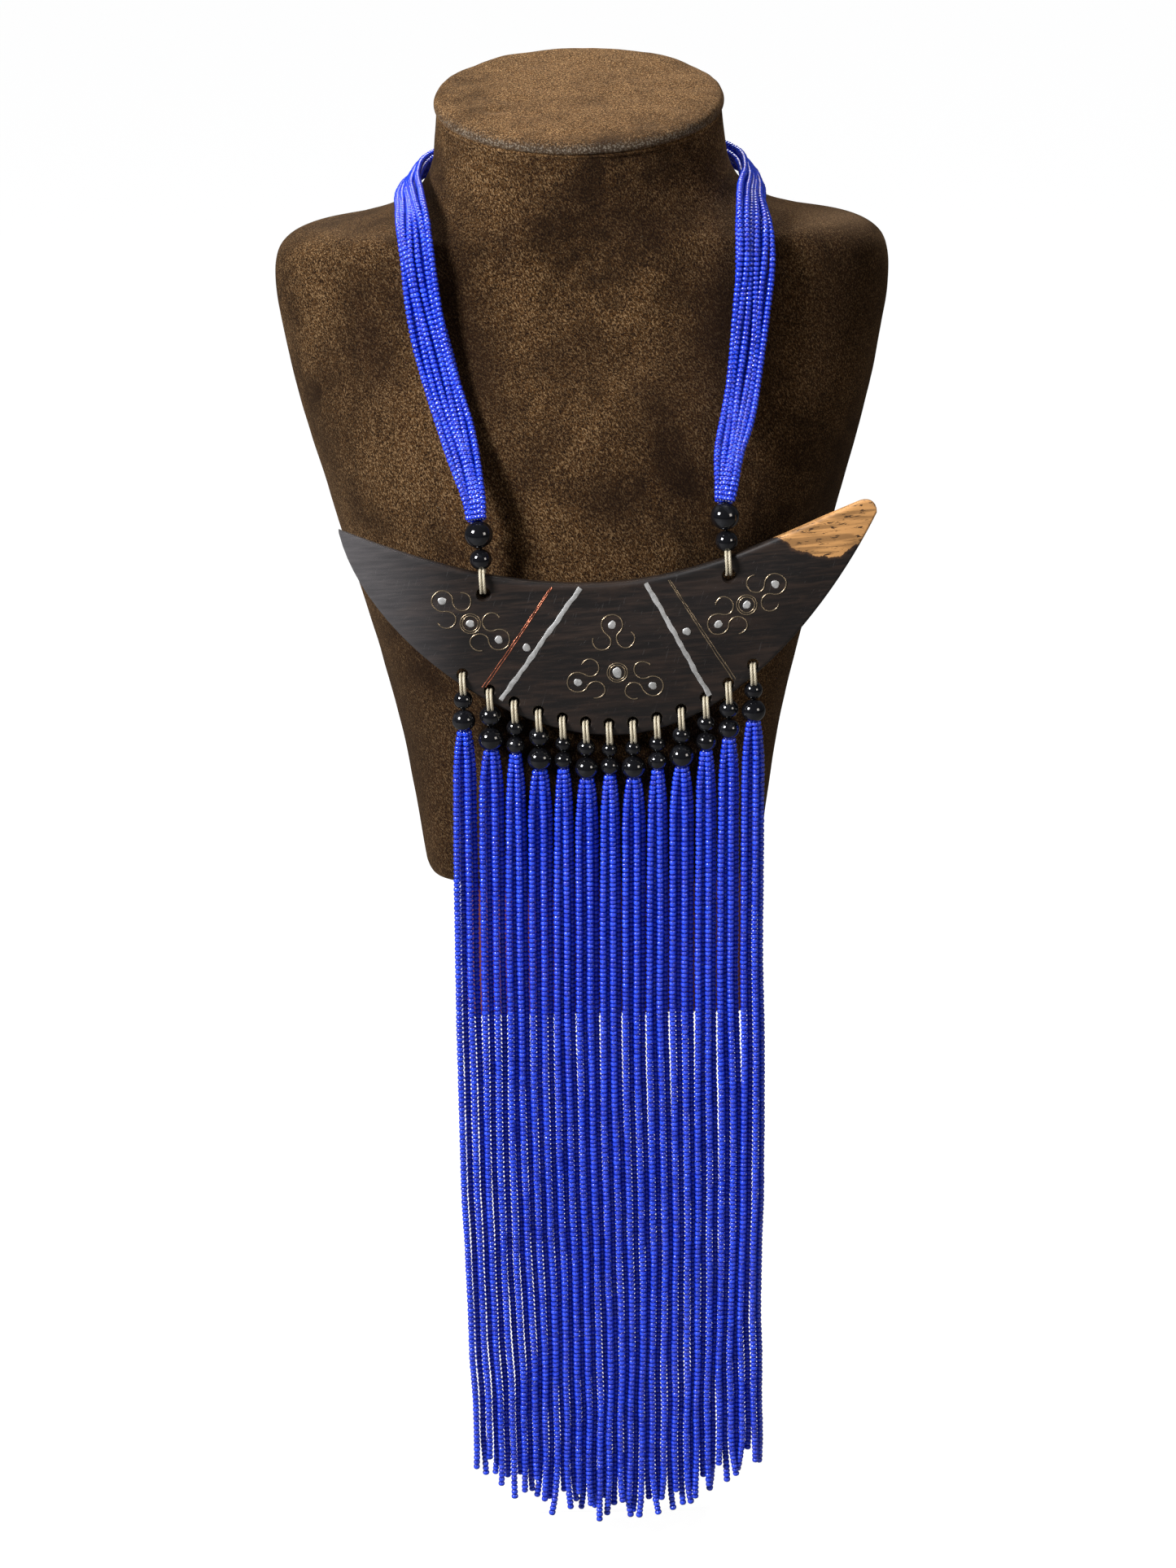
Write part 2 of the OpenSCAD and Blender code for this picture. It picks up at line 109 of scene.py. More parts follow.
WIRE_D, RING_WIRE_D, WIRE_SIDES = 0.42, 0.36, 8
BOW_R, CURL_R, RING_RADII = 3.4, 2.9, (2.55, 3.25)
SAPWOOD_EDGE = [(53, 14), (54.3, 12.2), (58, 9.2), (61.6, 6.8), (66.7, 4.8), (73.4, 4), (76.9, 5.9),
                (83.1, 9.4), (87.7, 18.2), (90, 20)]


# ---- Curves -----------------------------------------------------------------------------

def smooth_rows(rows, steps):
    """Rows with steps - 1 smooth rows added between each pair."""
    rows = np.array(rows, float)
    last = len(rows) - 1
    out = []
    for i in range(last):
        a, b, c, d = rows[max(i - 1, 0)], rows[i], rows[i + 1], rows[min(i + 2, last)]
        for k in range(steps):
            t = k / steps
            out.append(0.5 * (2 * b + (c - a) * t + (2 * a - 5 * b + 4 * c - d) * t ** 2
                              + (3 * b - a - 3 * c + d) * t ** 3))
    return np.array(out + [rows[last]])


def bezier(points, steps, first=0):
    """Points along a cubic Bezier."""
    p = np.array(points, float)
    return [(1 - t) ** 3 * p[0] + 3 * t * (1 - t) ** 2 * p[1]
            + 3 * t * t * (1 - t) * p[2] + t ** 3 * p[3]
            for t in (i / steps for i in range(first, steps + 1))]


TOP_CURVE = np.array(bezier([(-84, 25), (-58, 12), (-30, 0.9), (2, 0.9)], 24)
                     + bezier([(2, 0.9), (34, 0.9), (60, 14), (83, 21.6)], 24, 1)
                     + bezier([(83, 21.6), (85.6, 22.4), (87.6, 21), (88, 18.8)], 6, 1))
LOW_CURVE = np.array(bezier([(-84, 23.8), (-79, -10), (-36, -50.5), (2, -50.5)], 24)
                     + bezier([(2, -50.5), (42, -50.5), (75, -6), (88, 17.4)], 24, 1))


def lookup(curve, at):
    """The curve's height at one place or several."""
    return np.interp(at, curve[:, 0], curve[:, 1])


def placed(u, w):
    """The X and Z of a point of the board's own plane."""
    return (HANG[0] + u * math.cos(SLOPE) - w * math.sin(SLOPE),
            HANG[2] + u * math.sin(SLOPE) + w * math.cos(SLOPE))


def on_board(x, z):
    """The way back from X and Z to the board's own plane."""
    a, b = x - HANG[0], z - HANG[2]
    return a * math.cos(SLOPE) + b * math.sin(SLOPE), b * math.cos(SLOPE) - a * math.sin(SLOPE)


def half_thick(u, w):
    """Half the board's thickness, domed in the middle and rounded at the edges."""
    low, high = lookup(LOW_CURVE, u), lookup(TOP_CURVE, u)
    tall = np.maximum(high - low, 0.5)
    s = np.clip((w - low) / tall, 0, 1)
    along = np.minimum(np.abs((u - MIDDLE) / (END_RIGHT - MIDDLE)), 1)
    from_edge = np.minimum(s, 1 - s) * tall
    rim = 0.42 + 0.58 * np.sqrt(np.clip(1 - (1 - np.clip(from_edge / 1.5, 0, 1)) ** 2, 0, 1))
    dome = np.sin(np.pi * s) ** 2 * (1 - along ** 2)
    return (EDGE_THICK / 2 * rim + (MIDDLE_THICK - EDGE_THICK) / 2 * dome) * (1 - 0.4 * along ** 6)


def face(u, w):
    """The Y of the board's front face."""
    return HANG[1] - half_thick(u, w)


def tassel_layout():
    """For each tassel: the hole, the loop's middle, and the middles of its two beads, as X and Z."""
    steps = [0.0]
    for a, b in zip(LARGE_BEADS, LARGE_BEADS[1:]):
        steps.append(steps[-1] + (a + b) / 2 + TASSEL_GAP)
    edge = np.array([placed(u, w) for u, w in LOW_CURVE])
    out = []
    for i, step in enumerate(steps):
        x = HANG[0] - steps[-1] / 2 + step
        z = float(np.interp(x, edge[:, 0], edge[:, 1])) + HOLE_MARGIN
        small = z - SMALL_DROP
        out.append({"x": x, "hole": z, "pivot": z - LOOP_R, "small": small,
                    "large": small - (SMALL_BEADS[i] + LARGE_BEADS[i]) / 2 - 0.05})
    return out


TASSEL = tassel_layout()


# ---- Making meshes ----------------------------------------------------------------------

def add_object(name, mesh, *materials, smooth=True):
    """Puts a mesh in the scene as a piece."""
    if len(mesh.polygons) == 0:
        raise RuntimeError(f"{name} has no faces")
    piece = bpy.data.objects.new(name, mesh)
    bpy.context.scene.collection.objects.link(piece)
    for material in materials:
        mesh.materials.append(material)
    mesh.polygons.foreach_set("use_smooth", np.full(len(mesh.polygons), smooth))
    mesh.update()
    return piece


def quad_mesh(name, points, quads, slots=None):
    """A mesh from arrays of points, in metres, and four-cornered faces."""
    mesh = bpy.data.meshes.new(name)
    mesh.vertices.add(len(points))
    mesh.vertices.foreach_set("co", np.asarray(points, np.float32).ravel())
    mesh.loops.add(quads.size)
    mesh.loops.foreach_set("vertex_index", quads.astype(np.int32).ravel())
    mesh.polygons.add(len(quads))
    mesh.polygons.foreach_set("loop_start", np.arange(0, quads.size, 4, dtype=np.int32))
    if slots is not None:
        mesh.polygons.foreach_set("material_index", np.asarray(slots, np.int32))
    mesh.update(calc_edges=True)
    return mesh


def grid_quads(rows, columns, wrap_rows=False, wrap_columns=True):
    """The faces that join rows of points, each row a ring unless told otherwise."""
    r = np.arange(rows if wrap_rows else rows - 1)
    c = np.arange(columns if wrap_columns else columns - 1)
    a, b = np.meshgrid(r, c, indexing="ij")
    a, b = a.ravel(), b.ravel()
    a2, b2 = (a + 1) % rows, (b + 1) % columns
    return np.stack([a * columns + b, a * columns + b2, a2 * columns + b2, a2 * columns + b], 1)


def round_turn(count):
    """Equal steps round a circle, in radians."""
    return np.arange(count) * 2 * np.pi / count


def capped(rings, flip=False):
    """Rings joined up and closed at both ends, as points and faces."""
    rings = np.asarray(rings, float)
    rows, columns = rings.shape[:2]
    first, last = list(range(columns)), [(rows - 1) * columns + k for k in range(columns)]
    faces = grid_quads(rows, columns)
    if flip:
        return rings.reshape(-1, 3), faces[:, ::-1].tolist() + [first, last[::-1]]
    return rings.reshape(-1, 3), faces.tolist() + [first[::-1], last]


def closed_loop(rings, flip=False):
    """Rings joined up, the last to the first, as points and faces."""
    faces = grid_quads(rings.shape[0], rings.shape[1], wrap_rows=True)
    return rings.reshape(-1, 3), (faces[:, ::-1] if flip else faces).tolist()


def give(mesh, name, values):
    """Stores a value for each point of a mesh."""
    layer = mesh.attributes.new(name, "FLOAT", "POINT")
    layer.data.foreach_set("value", np.asarray(values, np.float32).ravel())


def unit(vectors):
    """Vectors brought to a length of one."""
    return vectors / np.maximum(np.linalg.norm(vectors, axis=-1, keepdims=True), 1e-9)


def directions(path):
    """The unit direction along a path at each of its points."""
    return unit(np.gradient(path, axis=0))


def square_to(ahead, side):
    """The unit vectors nearest to side that are square to ahead."""
    side = np.broadcast_to(np.asarray(side, float), ahead.shape)
    return unit(side - (side * ahead).sum(1, keepdims=True) * ahead)


def swept(path, radius, a, b, sides):
    """Rings of points round a path, each in the plane of a and b there."""
    turn = round_turn(sides)[:, None]
    b = np.broadcast_to(b, path.shape)
    return path[:, None] + radius * (np.cos(turn) * a[:, None] + np.sin(turn) * b[:, None])


def tube_rings(path, radius, sides, side):
    """Rings of points round a path, the first point of each towards side."""
    ahead = directions(path)
    a = square_to(ahead, side)
    return swept(path, radius, a, np.cross(ahead, a), sides)


def merged(name, parts):
    """One mesh from several of points, in millimetres, and faces."""
    points, faces, count = [], [], 0
    for own, quads in parts:
        own = np.asarray(own, float).reshape(-1, 3)
        points.append(own)
        faces += [[count + k for k in face_] for face_ in quads]
        count += len(own)
    mesh = bpy.data.meshes.new(name)
    mesh.from_pydata((np.concatenate(points) * MM).tolist(), [], faces)
    mesh.validate()
    return mesh


def ring_tube(centre, r, wire, around, sides, offset=0.0, wobble=0.0, lean=0.0):
    """A ring of cord in the plane across the board, as points and faces."""
    turn = round_turn(around)
    rr = r + wobble * np.sin(3 * turn + 5 * offset)
    path = np.stack([centre[0] + offset + 0.12 * np.sin(2 * turn), HANG[1] + rr * np.sin(turn),
                     centre[1] + rr * np.cos(turn)], 1)
    middle = np.array([centre[0] + offset, HANG[1], centre[1]])
    outward = path - middle
    outward[:, 0] = 0
    aside = np.array([math.cos(lean), 0, math.sin(lean)])
    return closed_loop(swept(path, wire / 2, unit(outward), aside, sides))


def turned_bead(centre, d, bore, rows=26, around=48, flat=0.97, seed=0):
    """A round bead with a rounded bore, its string along Z, as points and faces."""
    r = d / 2
    edge = math.asin(min(bore / d, 0.9))
    swing = np.linspace(edge, math.pi - edge, rows)
    outline = [(r * math.sin(a), r * flat * math.cos(a)) for a in swing]
    lip = outline[0][1]
    outline = ([(bore / 2 * 0.92, lip - 0.35)] + outline + [(bore / 2 * 0.92, 0.35 - lip)])
    turn = round_turn(around)
    rings = [[(x * math.cos(a), x * math.sin(a), z) for a in turn] for x, z in outline]
    rings = np.array(rings)
    lump = np.array([[noise.noise(Vector(p * (2.2 / d)) + Vector((seed, 0, 0))) for p in ring]
                     for ring in rings])
    rings[..., :2] *= (1 + 0.012 * lump)[..., None]
    return closed_loop(rings + np.array(centre), flip=True)


# ---- Shader nodes -----------------------------------------------------------------------

def add(tree, kind, values=None, **settings):
    """A new node, with its settings and the values of its inputs."""
    node = tree.nodes.new(kind)
    for key, value in settings.items():
        setattr(node, key, value)
    for key, value in (values or {}).items():
        if hasattr(value, "is_output"):
            tree.links.new(value, node.inputs[key])
        else:
            node.inputs[key].default_value = value
    return node


def mixed(tree, amount, a, b, blend="MIX"):
    """A colour between a and b."""
    node = add(tree, "ShaderNodeMix", data_type="RGBA", blend_type=blend)
    for index, value in ((0, amount), (6, a), (7, b)):
        if hasattr(value, "is_output"):
            tree.links.new(value, node.inputs[index])
        elif index == 0:
            node.inputs[0].default_value = value
        else:
            node.inputs[index].default_value = (*value[:3], 1)
    return node.outputs[2]


def ramp(tree, value, low, high, most=1.0):
    """A value spread so that low gives 0 and high gives most."""
    return add(tree, "ShaderNodeMapRange", {0: value, 1: low, 2: high, 4: most},
               interpolation_type="SMOOTHSTEP").outputs[0]


def maths(tree, what, a, b):
    """A sum on two values."""
    return add(tree, "ShaderNodeMath", {0: a, 1: b}, operation=what).outputs[0]


def times(tree, a, b):
    """One value times another."""
    return maths(tree, "MULTIPLY", a, b)


def plus(tree, a, b):
    """One value plus another."""
    return maths(tree, "ADD", a, b)


def minus(tree, a, b):
    """One value less another."""
    return maths(tree, "SUBTRACT", a, b)


def painted(tree, name):
    """The value stored for each point of the mesh."""
    return add(tree, "ShaderNodeAttribute", attribute_name=name).outputs["Fac"]


def speckle(tree, vector, scale, detail=2.0, rough=0.5, twist=0.0):
    """A noise value."""
    return add(tree, "ShaderNodeTexNoise", {"Vector": vector, "Scale": scale, "Detail": detail,
                                            "Roughness": rough, "Distortion": twist}).outputs[0]


def stretched(tree, vector, size, turn=(0, 0, 0)):
    """A vector turned and then stretched."""
    turned = add(tree, "ShaderNodeMapping", {"Vector": vector, "Rotation": turn})
    return add(tree, "ShaderNodeMapping", {"Vector": turned.outputs[0], "Scale": size}).outputs[0]


def place_of(tree):
    """Where a point is on the object at rest."""
    return add(tree, "ShaderNodeTexCoord").outputs["Object"]


def new_group(name, inputs, outputs):
    """A shader node group with named inputs and outputs."""
    group = bpy.data.node_groups.new(name, "ShaderNodeTree")
    for label, kind, value in inputs:
        socket = group.interface.new_socket(label, in_out="INPUT", socket_type="NodeSocket" + kind)
        if value is not None:
            socket.default_value = value
    for label, kind in outputs:
        group.interface.new_socket(label, in_out="OUTPUT", socket_type="NodeSocket" + kind)
    return group, add(group, "NodeGroupInput"), add(group, "NodeGroupOutput")


def velvet_nap():
    """Short brushed pile: a speckled colour in brushed patches, and its height."""
    name = "Velvet nap"
    if name in bpy.data.node_groups:
        return bpy.data.node_groups[name]
    group, start, end = new_group(
        name,
        [("Vector", "Vector", None), ("Deep", "Color", (0.01, 0.005, 0.003, 1)),
         ("Pile", "Color", (0.05, 0.03, 0.015, 1)), ("Brushed", "Color", (0.12, 0.09, 0.05, 1)),
         ("Fineness", "Float", 1.0)],
        [("Color", "Color"), ("Height", "Float"), ("Brush", "Float")])
    at = start.outputs["Vector"]
    fine = speckle(group, at, times(group, start.outputs["Fineness"], 1900.0), 3, 0.7)
    hairs = speckle(group, stretched(group, at, (1, 1, 0.45), (0.3, 0.5, 0.2)),
                    times(group, start.outputs["Fineness"], 2600.0), 2, 0.6, 0.6)
    patches = speckle(group, at, 13.0, 3, 0.5, 0.4)
    smudges = speckle(group, at, 90.0, 4, 0.65, 0.4)
    brush = plus(group, ramp(group, patches, 0.36, 0.62, 0.75), ramp(group, smudges, 0.35, 0.65, 0.45))
    lie = times(group, ramp(group, fine, 0.4, 0.62), plus(group, 0.22, brush))
    pile = mixed(group, lie, start.outputs["Deep"], start.outputs["Pile"])
    tips = times(group, ramp(group, hairs, 0.5, 0.66), plus(group, 0.1, brush))
    colour = mixed(group, tips, pile, start.outputs["Brushed"])
    lint = ramp(group, speckle(group, at, 620.0, 2, 0.9, 2.5), 0.74, 0.78)
    colour = mixed(group, times(group, lint, 0.5), colour, (0.42, 0.36, 0.26))
    height = plus(group, fine, times(group, hairs, 0.6))
    for label, value in (("Color", colour), ("Height", height), ("Brush", brush)):
        group.links.new(value, end.inputs[label])
    return group


def hand_rubbed():
    """Metal filed flush and handled for years: a tarnished colour, its roughness and height."""
    name = "Hand-rubbed metal"
    if name in bpy.data.node_groups:
        return bpy.data.node_groups[name]
    group, start, end = new_group(
        name,
        [("Vector", "Vector", None), ("Bright", "Color", (0.8, 0.8, 0.8, 1)),
         ("Tarnish", "Color", (0.3, 0.3, 0.3, 1)), ("Worn", "Float", 0.5)],
        [("Color", "Color"), ("Roughness", "Float"), ("Height", "Float")])
    at = start.outputs["Vector"]
    stain = speckle(group, at, 520.0, 4, 0.65, 0.5)
    files = speckle(group, stretched(group, at, (1, 1, 7), (0, 0.7, 0)), 900.0, 3, 0.6)
    dull = ramp(group, plus(group, stain, minus(group, 0.5, start.outputs["Worn"])), 0.42, 0.68)
    colour = mixed(group, dull, start.outputs["Bright"], start.outputs["Tarnish"])
    rough = plus(group, 0.28, times(group, dull, 0.3))
    for label, value in (("Color", colour), ("Roughness", rough),
                         ("Height", plus(group, files, stain))):
        group.links.new(value, end.inputs[label])
    return group


def shader(name, sockets):
    """A new material: its tree, and its shader with the values that are the same all over."""
    material = bpy.data.materials.new(name)
    material.use_nodes = True
    tree = material.node_tree
    bsdf = tree.nodes["Principled BSDF"]
    for key, value in sockets.items():
        bsdf.inputs[key].default_value = value
    return material, tree, bsdf


def join(tree, bsdf, colour=None, rough=None, height=None, strength=0.3, distance=0.0003):
    """Feeds the shader its colour, roughness and bump."""
    if colour is not None:
        tree.links.new(colour, bsdf.inputs["Base Color"])
    if rough is not None:
        tree.links.new(rough, bsdf.inputs["Roughness"])
    if height is not None:
        bump = add(tree, "ShaderNodeBump", {"Strength": strength, "Distance": distance, "Height": height})
        tree.links.new(bump.outputs[0], bsdf.inputs["Normal"])


def velvet_material(name, deep, pile, brushed, sheen):
    """Brown display velvet."""
    material, tree, bsdf = shader(name, {
        "Roughness": 0.95, "Specular IOR Level": 0.08, "Sheen Weight": sheen, "Sheen Roughness": 0.4,
        "Sheen Tint": (0.62, 0.4, 0.22, 1)})
    nap = add(tree, "ShaderNodeGroup", node_tree=velvet_nap())
    tree.links.new(place_of(tree), nap.inputs["Vector"])
    for label, value in (("Deep", deep), ("Pile", pile), ("Brushed", brushed)):
        nap.inputs[label].default_value = (*value, 1)
    # painted shade: the velvet darkens towards the bottom of the bust
    height = add(tree, "ShaderNodeSeparateXYZ", {0: place_of(tree)}).outputs["Z"]
    low = minus(tree, 1.0, ramp(tree, height, -0.02, 0.2))
    colour = mixed(tree, times(tree, low, 0.5), nap.outputs["Color"], deep)
    # painted shade: the colour darkens towards the deep pile beside the throat and round the flanks
    against = painted(tree, "against")
    colour = mixed(tree, against, colour, [c * 1.4 for c in deep])
    worn = painted(tree, "worn")
    weave = add(tree, "ShaderNodeTexVoronoi", {"Vector": place_of(tree), "Scale": 1500.0}).outputs[0]
    bare = mixed(tree, ramp(tree, weave, 0.15, 0.6), (0.2, 0.17, 0.13), (0.045, 0.032, 0.022))
    colour = mixed(tree, worn, colour, bare)
    join(tree, bsdf, colour, None, nap.outputs["Height"], 0.5, 0.0004)
    return material


def board_material():
    """Pressed fibre board with a cut edge."""
    material, tree, bsdf = shader("Fibre board", {"Roughness": 0.85})
    at = place_of(tree)
    fibres = speckle(tree, stretched(tree, at, (1, 3, 1)), 420.0, 4, 0.7, 0.6)
    colour = mixed(tree, ramp(tree, fibres, 0.3, 0.7), (0.2, 0.12, 0.06), (0.42, 0.3, 0.17))
    join(tree, bsdf, colour, None, fibres, 0.4, 0.0003)
    return material


def ebony_material(dark, brown, sapwood):
    """Carved ebony rubbed to a satin finish, with one tip of pale sapwood."""
    material, tree, bsdf = shader("Carved ebony", {
        "Roughness": 0.45, "Specular IOR Level": 0.42, "Coat Weight": 0.12, "Coat Roughness": 0.35})
    along = stretched(tree, place_of(tree), (1, 1, 1), (0, SLOPE, 0))
    grain = speckle(tree, stretched(tree, along, (0.09, 1, 1.0)), 820.0, 5, 0.62, 0.35)
    bands = speckle(tree, stretched(tree, along, (0.16, 1, 1.0)), 150.0, 4, 0.6, 0.8)
    clouds = speckle(tree, along, 24.0, 3, 0.55, 0.5)
    wood = mixed(tree, ramp(tree, grain, 0.42, 0.72), dark, brown)
    wood = mixed(tree, ramp(tree, bands, 0.46, 0.72, 0.55), wood, [c * 1.5 for c in brown])
    wood = mixed(tree, ramp(tree, clouds, 0.45, 0.7, 0.3), wood, dark)
    rub = speckle(tree, stretched(tree, along, (0.35, 1, 2.6), (0, 0.9, 0)), 900.0, 3, 0.7)
    cross = speckle(tree, stretched(tree, along, (3.0, 1, 0.16), (0, -0.35, 0)), 700.0, 2, 0.6)
    scratches = maths(tree, "MAXIMUM", ramp(tree, rub, 0.66, 0.74), ramp(tree, cross, 0.68, 0.75))
    wood = mixed(tree, times(tree, scratches, 0.3), wood, (0.06, 0.055, 0.052))
    flecks = speckle(tree, stretched(tree, along, (0.2, 1, 1.0)), 1250.0, 3, 0.7, 0.5)
    streaks = speckle(tree, stretched(tree, along, (0.08, 1, 1.0)), 500.0, 4, 0.6, 0.3)
    pale = mixed(tree, ramp(tree, streaks, 0.4, 0.6), [c * 0.5 for c in sapwood], sapwood)
    pale = mixed(tree, ramp(tree, flecks, 0.57, 0.63), pale, (0.05, 0.024, 0.01))
    near = painted(tree, "sapwood")
    ragged = plus(tree, near, times(tree, minus(tree, speckle(tree, along, 260.0, 4, 0.65), 0.5), 0.45))
    inside = ramp(tree, ragged, 0.49, 0.53)
    fringe = ramp(tree, ragged, 0.38, 0.5, 0.35)
    colour = mixed(tree, fringe, wood, (0.1, 0.045, 0.02))
    colour = mixed(tree, inside, colour, pale)
    # painted sheen: the left end of the crescent turns pale grey, standing in for the window light
    # glancing off it
    across = add(tree, "ShaderNodeSeparateXYZ", {0: along}).outputs["X"]
    painted_sheen_side = minus(tree, 1.0, ramp(tree, across, -0.08, -0.03))
    painted_sheen = times(tree, painted_sheen_side, plus(tree, 0.35, times(tree, grain, 0.7)))
    colour = mixed(tree, painted_sheen, colour, (0.115, 0.11, 0.114))
    rough = plus(tree, 0.36, plus(tree, times(tree, grain, 0.22), times(tree, scratches, 0.12)))
    height = minus(tree, grain, times(tree, scratches, 0.6))
    join(tree, bsdf, colour, rough, height, 0.22, 0.00025)
    return material


def metal_material(name, bright, tarnish, worn, metallic=0.85):
    """Inlaid metal: worn goes from 0, dull all over, to 1, bright all over."""
    material, tree, bsdf = shader(name, {"Metallic": metallic})
    group = add(tree, "ShaderNodeGroup", {"Worn": worn}, node_tree=hand_rubbed())
    tree.links.new(place_of(tree), group.inputs["Vector"])
    group.inputs["Bright"].default_value = (*bright, 1)
    group.inputs["Tarnish"].default_value = (*tarnish, 1)
    join(tree, bsdf, group.outputs["Color"], group.outputs["Roughness"], group.outputs["Height"],
         0.35, 0.00012)
    return material


def cord_material(colour):
    """Waxed cream cord, two plies laid together."""
    material, tree, bsdf = shader("Waxed cream cord", {"Specular IOR Level": 0.6, "Sheen Weight": 0.15})
    at = place_of(tree)
    plies = add(tree, "ShaderNodeTexWave", {
        "Vector": stretched(tree, at, (1, 1, 1), (0, 0.9, 0)), "Scale": 520.0, "Distortion": 1.5,
        "Detail": 2.0, "Detail Scale": 3.0}, bands_direction="Z").outputs["Fac"]
    dirt = speckle(tree, at, 700.0, 3, 0.6)
    # painted shade: the colour darkens in the grooves between the twisted plies
    shade = mixed(tree, ramp(tree, plies, 0.0, 0.5, 0.6), [c * 0.6 for c in colour], colour)
    shade = mixed(tree, ramp(tree, dirt, 0.55, 0.75, 0.4), shade, (0.28, 0.2, 0.1))
    join(tree, bsdf, shade, plus(tree, 0.32, times(tree, dirt, 0.3)), plies, 0.3, 0.00012)
    return material


def black_bead_material(colour):
    """Black glass beads with a few rubbed spots."""
    material, tree, bsdf = shader("Black glass", {
        "Specular IOR Level": 0.4, "Coat Weight": 0.5, "Coat Roughness": 0.03})
    at = place_of(tree)
    pits = speckle(tree, at, 620.0, 3, 0.6)
    rub = speckle(tree, at, 260.0, 4, 0.7, 0.4)
    haze = ramp(tree, rub, 0.5, 0.78)
    colour = mixed(tree, times(tree, haze, 0.5), colour, (0.03, 0.032, 0.038))
    rough = plus(tree, 0.07, times(tree, haze, 0.2))
    join(tree, bsdf, colour, rough, pits, 0.08, 0.00015)
    return material


def seed_bead_material(colour, see_through):
    """Clear cobalt glass seed beads, each a little different."""
    material, tree, bsdf = shader("Cobalt glass", {
        "IOR": 1.5, "Specular IOR Level": 0.6, "Coat Weight": 1.0, "Coat Roughness": 0.1,
        "Transmission Weight": see_through})
    # painted shade and highlight: dark blue at each bead's rims, light blue round its middle, over each
    # bead's own random tone
    tone_and_shade = painted(tree, "tone_and_shade")
    deep = [c * 0.34 for c in colour]
    light = (colour[0] * 3 + 0.012, colour[1] * 3 + 0.045, 1)
    shade = mixed(tree, tone_and_shade, deep, light)
    swirl = speckle(tree, place_of(tree), 1500.0, 2, 0.6)
    shade = mixed(tree, ramp(tree, swirl, 0.5, 0.75, 0.3), shade, light)
    rough = plus(tree, 0.08, times(tree, swirl, 0.12))
    # painted glow: emission standing in for light come through the neighbouring beads
    painted_glow = mixed(tree, tone_and_shade, (0, 0.0003, 0.016), (0, 0.001, 0.03))
    tree.links.new(painted_glow, bsdf.inputs["Emission Color"])
    bsdf.inputs["Emission Strength"].default_value = 1.0
    join(tree, bsdf, shade, rough, swirl, 0.12, 0.0001)
    return material


def thread_material():
    """The pale thread inside the seed beads."""
    material, tree, bsdf = shader("Beading thread", {"Roughness": 0.5})
    at = place_of(tree)
    twist = speckle(tree, stretched(tree, at, (1, 1, 0.4)), 2600.0, 2, 0.5)
    colour = mixed(tree, twist, (0.42, 0.46, 0.6), (0.9, 0.92, 0.95))
    join(tree, bsdf, colour, None, twist, 0.2, 0.0001)
    return material


def finish_of(label, maker, *values):
    """The material of that label, made the first time it is asked for."""
    key = "made_" + label
    found = bpy.data.materials.get(bpy.context.scene.get(key, ""))
    if found is None:
        found = maker(*values)
        bpy.context.scene[key] = found.name
    return found


# ---- Seed bead strings ------------------------------------------------------------------

def bead_outline(d, pitch):
    """One seed bead's section: from its lower rim over the barrel to its upper rim, and the bore."""
    r, h = d / 2, pitch * 0.49
    return [(0.36 * r, -0.8 * h), (0.62 * r, -h), (0.85 * r, -0.76 * h), (0.965 * r, -0.4 * h),
            (r, 0.0), (0.965 * r, 0.4 * h), (0.85 * r, 0.76 * h), (0.62 * r, h), (0.36 * r, 0.8 * h)]


def along_path(path, at):
    """Points at given distances along a path."""
    gone = np.concatenate([[0], np.cumsum(np.linalg.norm(np.diff(path, axis=0), axis=1))])
    return np.stack([np.interp(at, gone, path[:, k]) for k in range(3)], 1), gone[-1]


